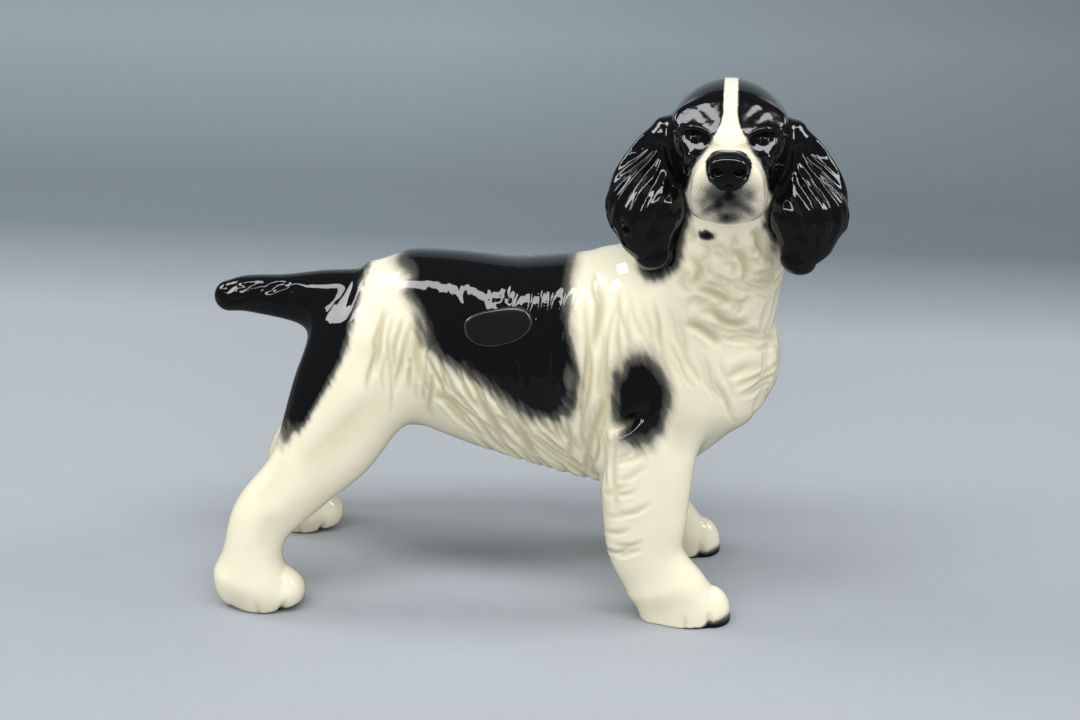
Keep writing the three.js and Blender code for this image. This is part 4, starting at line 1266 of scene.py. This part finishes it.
# Backdrop: a straight floor, a quarter circle and a straight wall, carried across the sheet's width.
def paperSweep(spec):
    quarter = np.radians(np.linspace(0, 90, 25))
    bend, radius = spec["bend"], spec["bendRadius"]
    y = np.concatenate([[spec["front"]], bend + radius * np.sin(quarter), [bend + radius]])
    z = np.concatenate([[0], radius * (1 - np.cos(quarter)), [spec["height"]]])
    rows = len(y)
    half = spec["width"] / 2
    points = np.concatenate([np.stack([np.full(rows, side), y, z], 1) for side in (-half, half)])
    k = np.arange(rows - 1)
    faces = np.stack([k, k + rows, k + rows + 1, k + 1], 1)
    material, tree = newMaterial("matt backdrop paper")
    coords = addNode(tree, "ShaderNodeTexCoord").outputs["Object"]
    fibre = addNode(tree, "ShaderNodeTexNoise", {
        "Vector": coords, "Scale": 1000 / spec["fibre"], "Detail": 4.0}).outputs["Fac"]
    tone = addNode(tree, "ShaderNodeMapRange", {"Value": fibre, 1: 0.2, 2: 0.8, 3: 0.0, 4: 0.05})
    aside, away = addNode(tree, "ShaderNodeSeparateXYZ", {0: coords}).outputs[:2]
    share = {}
    # Painted shade: the floor behind the figure is darkened along and across it, then paler towards the bend.
    for name, (start, end, most) in spec["ramps"].items():
        place = aside if name == "farSideShade" else away
        ramp = addNode(tree, "ShaderNodeMapRange", {"Value": place, 1: start, 2: end, 3: 0.0, 4: most})
        share[name] = ramp.outputs[0]
    shadedPaper = linear(spec["shadeBand"])
    for name in ("lighterShade", "farSideShade", "wallBack"):
        shadedPaper = addNode(tree, "ShaderNodeMix", {
            0: share[name], 6: shadedPaper, 7: linear(spec[name])}, data_type="RGBA").outputs[2]
    # Painted reflection: the floor takes a darker tone where it is seen in the glaze.
    glossRay = addNode(tree, "ShaderNodeLightPath").outputs["Is Glossy Ray"]
    floor = addNode(tree, "ShaderNodeMix", {
        0: glossRay, 6: linear(spec["floor"]), 7: linear(spec["floorInGloss"])}, data_type="RGBA")
    faded = addNode(tree, "ShaderNodeMath", {
        0: tone.outputs[0], 1: share["shadeBand"]}, operation="ADD", use_clamp=True)
    colour = addNode(tree, "ShaderNodeMix", {
        0: faded.outputs[0], 6: floor.outputs[2], 7: shadedPaper}, data_type="RGBA")
    matt = addNode(tree, "ShaderNodeBsdfPrincipled", {
        "Base Color": colour.outputs[2], "Roughness": spec["roughness"]})
    addNode(tree, "ShaderNodeOutputMaterial", {"Surface": matt.outputs[0]})
    sweep = meshObject("backdrop_paper", points * 1000 - frameShift, [faces], material)


paperSweep(paper)

# Light: a long softbox above the front, a lamp at each side, a fill from the front and a dim room
daylight = (0.98, 0.99, 1.0)
lamps = {
    "softbox": {"at": (0.0, -0.4, 1.12), "size": (1.7, 0.25), "watts": 12.4, "colour": (0.96, 0.97, 1.0)},
    "window_light": {"at": (-1.0, 0.13, 0.91), "size": (0.48, 0.48), "watts": 6.5, "colour": daylight},
    "side_card": {"at": (1.13, 0.13, 0.9), "size": (0.48, 0.48), "watts": 6.5, "colour": daylight},
    "front_fill": {"at": (0.1, -1.9, 0.62), "size": (1.6, 1.0), "watts": 20.0, "colour": daylight},
}
notInGlaze = ["front_fill"]  # lights the front without a patch in the glaze
lampAim = (0.0, 0.0, 0.09)
room = {"colour": "#e4e9ef", "strength": 0.26, "strengthInGloss": 0.12}

for name, spec in lamps.items():
    lamp = bpy.data.lights.new(name, "AREA")
    lamp.shape = "RECTANGLE"
    lamp.size, lamp.size_y = spec["size"]
    lamp.energy = spec["watts"]
    lamp.color = spec["colour"]
    lampObject = bpy.data.objects.new(name, lamp)
    lampObject.location = spec["at"]
    lampObject.rotation_euler = (Vector(lampAim) - Vector(spec["at"])).to_track_quat("-Z", "Y").to_euler()
    lampObject.visible_glossy = name not in notInGlaze
    bpy.context.scene.collection.objects.link(lampObject)
world = bpy.data.worlds.new("studio")
world.use_nodes = True
bpy.context.scene.world = world
background = world.node_tree.nodes["Background"]
background.inputs[0].default_value = linear(room["colour"])
glossRay = addNode(world.node_tree, "ShaderNodeLightPath").outputs["Is Glossy Ray"]
bright = addNode(world.node_tree, "ShaderNodeMapRange", {
    "Value": glossRay, 1: 0.0, 2: 1.0, 3: room["strength"], 4: room["strengthInGloss"]})
world.node_tree.links.new(bright.outputs[0], background.inputs[1])
print("studio lit by", len(lamps), "lamps")

# Camera: the photograph's angle, a long lens a little above the figure
view = {
    "azimuth": 6.0,
    "elevation": 24.0,
    "distance": 750.0,
    "focalPixels": 2377.0,
    "imageWidth": 1080,
    "target": (0.0, -15.5, 86.0),
}
azimuth, elevation = np.radians((view["azimuth"], view["elevation"]))
back = Vector((np.sin(azimuth) * np.cos(elevation), -np.cos(azimuth) * np.cos(elevation), np.sin(elevation)))
camera = bpy.data.cameras.new("camera")
camera.sensor_width = 36
camera.lens = view["focalPixels"] / view["imageWidth"] * camera.sensor_width
cameraObject = bpy.data.objects.new("camera", camera)
cameraObject.location = Vector(toFrame(view["target"])) + back * view["distance"] / 1000
cameraObject.rotation_euler = back.to_track_quat("Z", "Y").to_euler()
bpy.context.scene.collection.objects.link(cameraObject)
bpy.context.scene.camera = cameraObject
bpy.context.scene.view_settings.view_transform = "Standard"
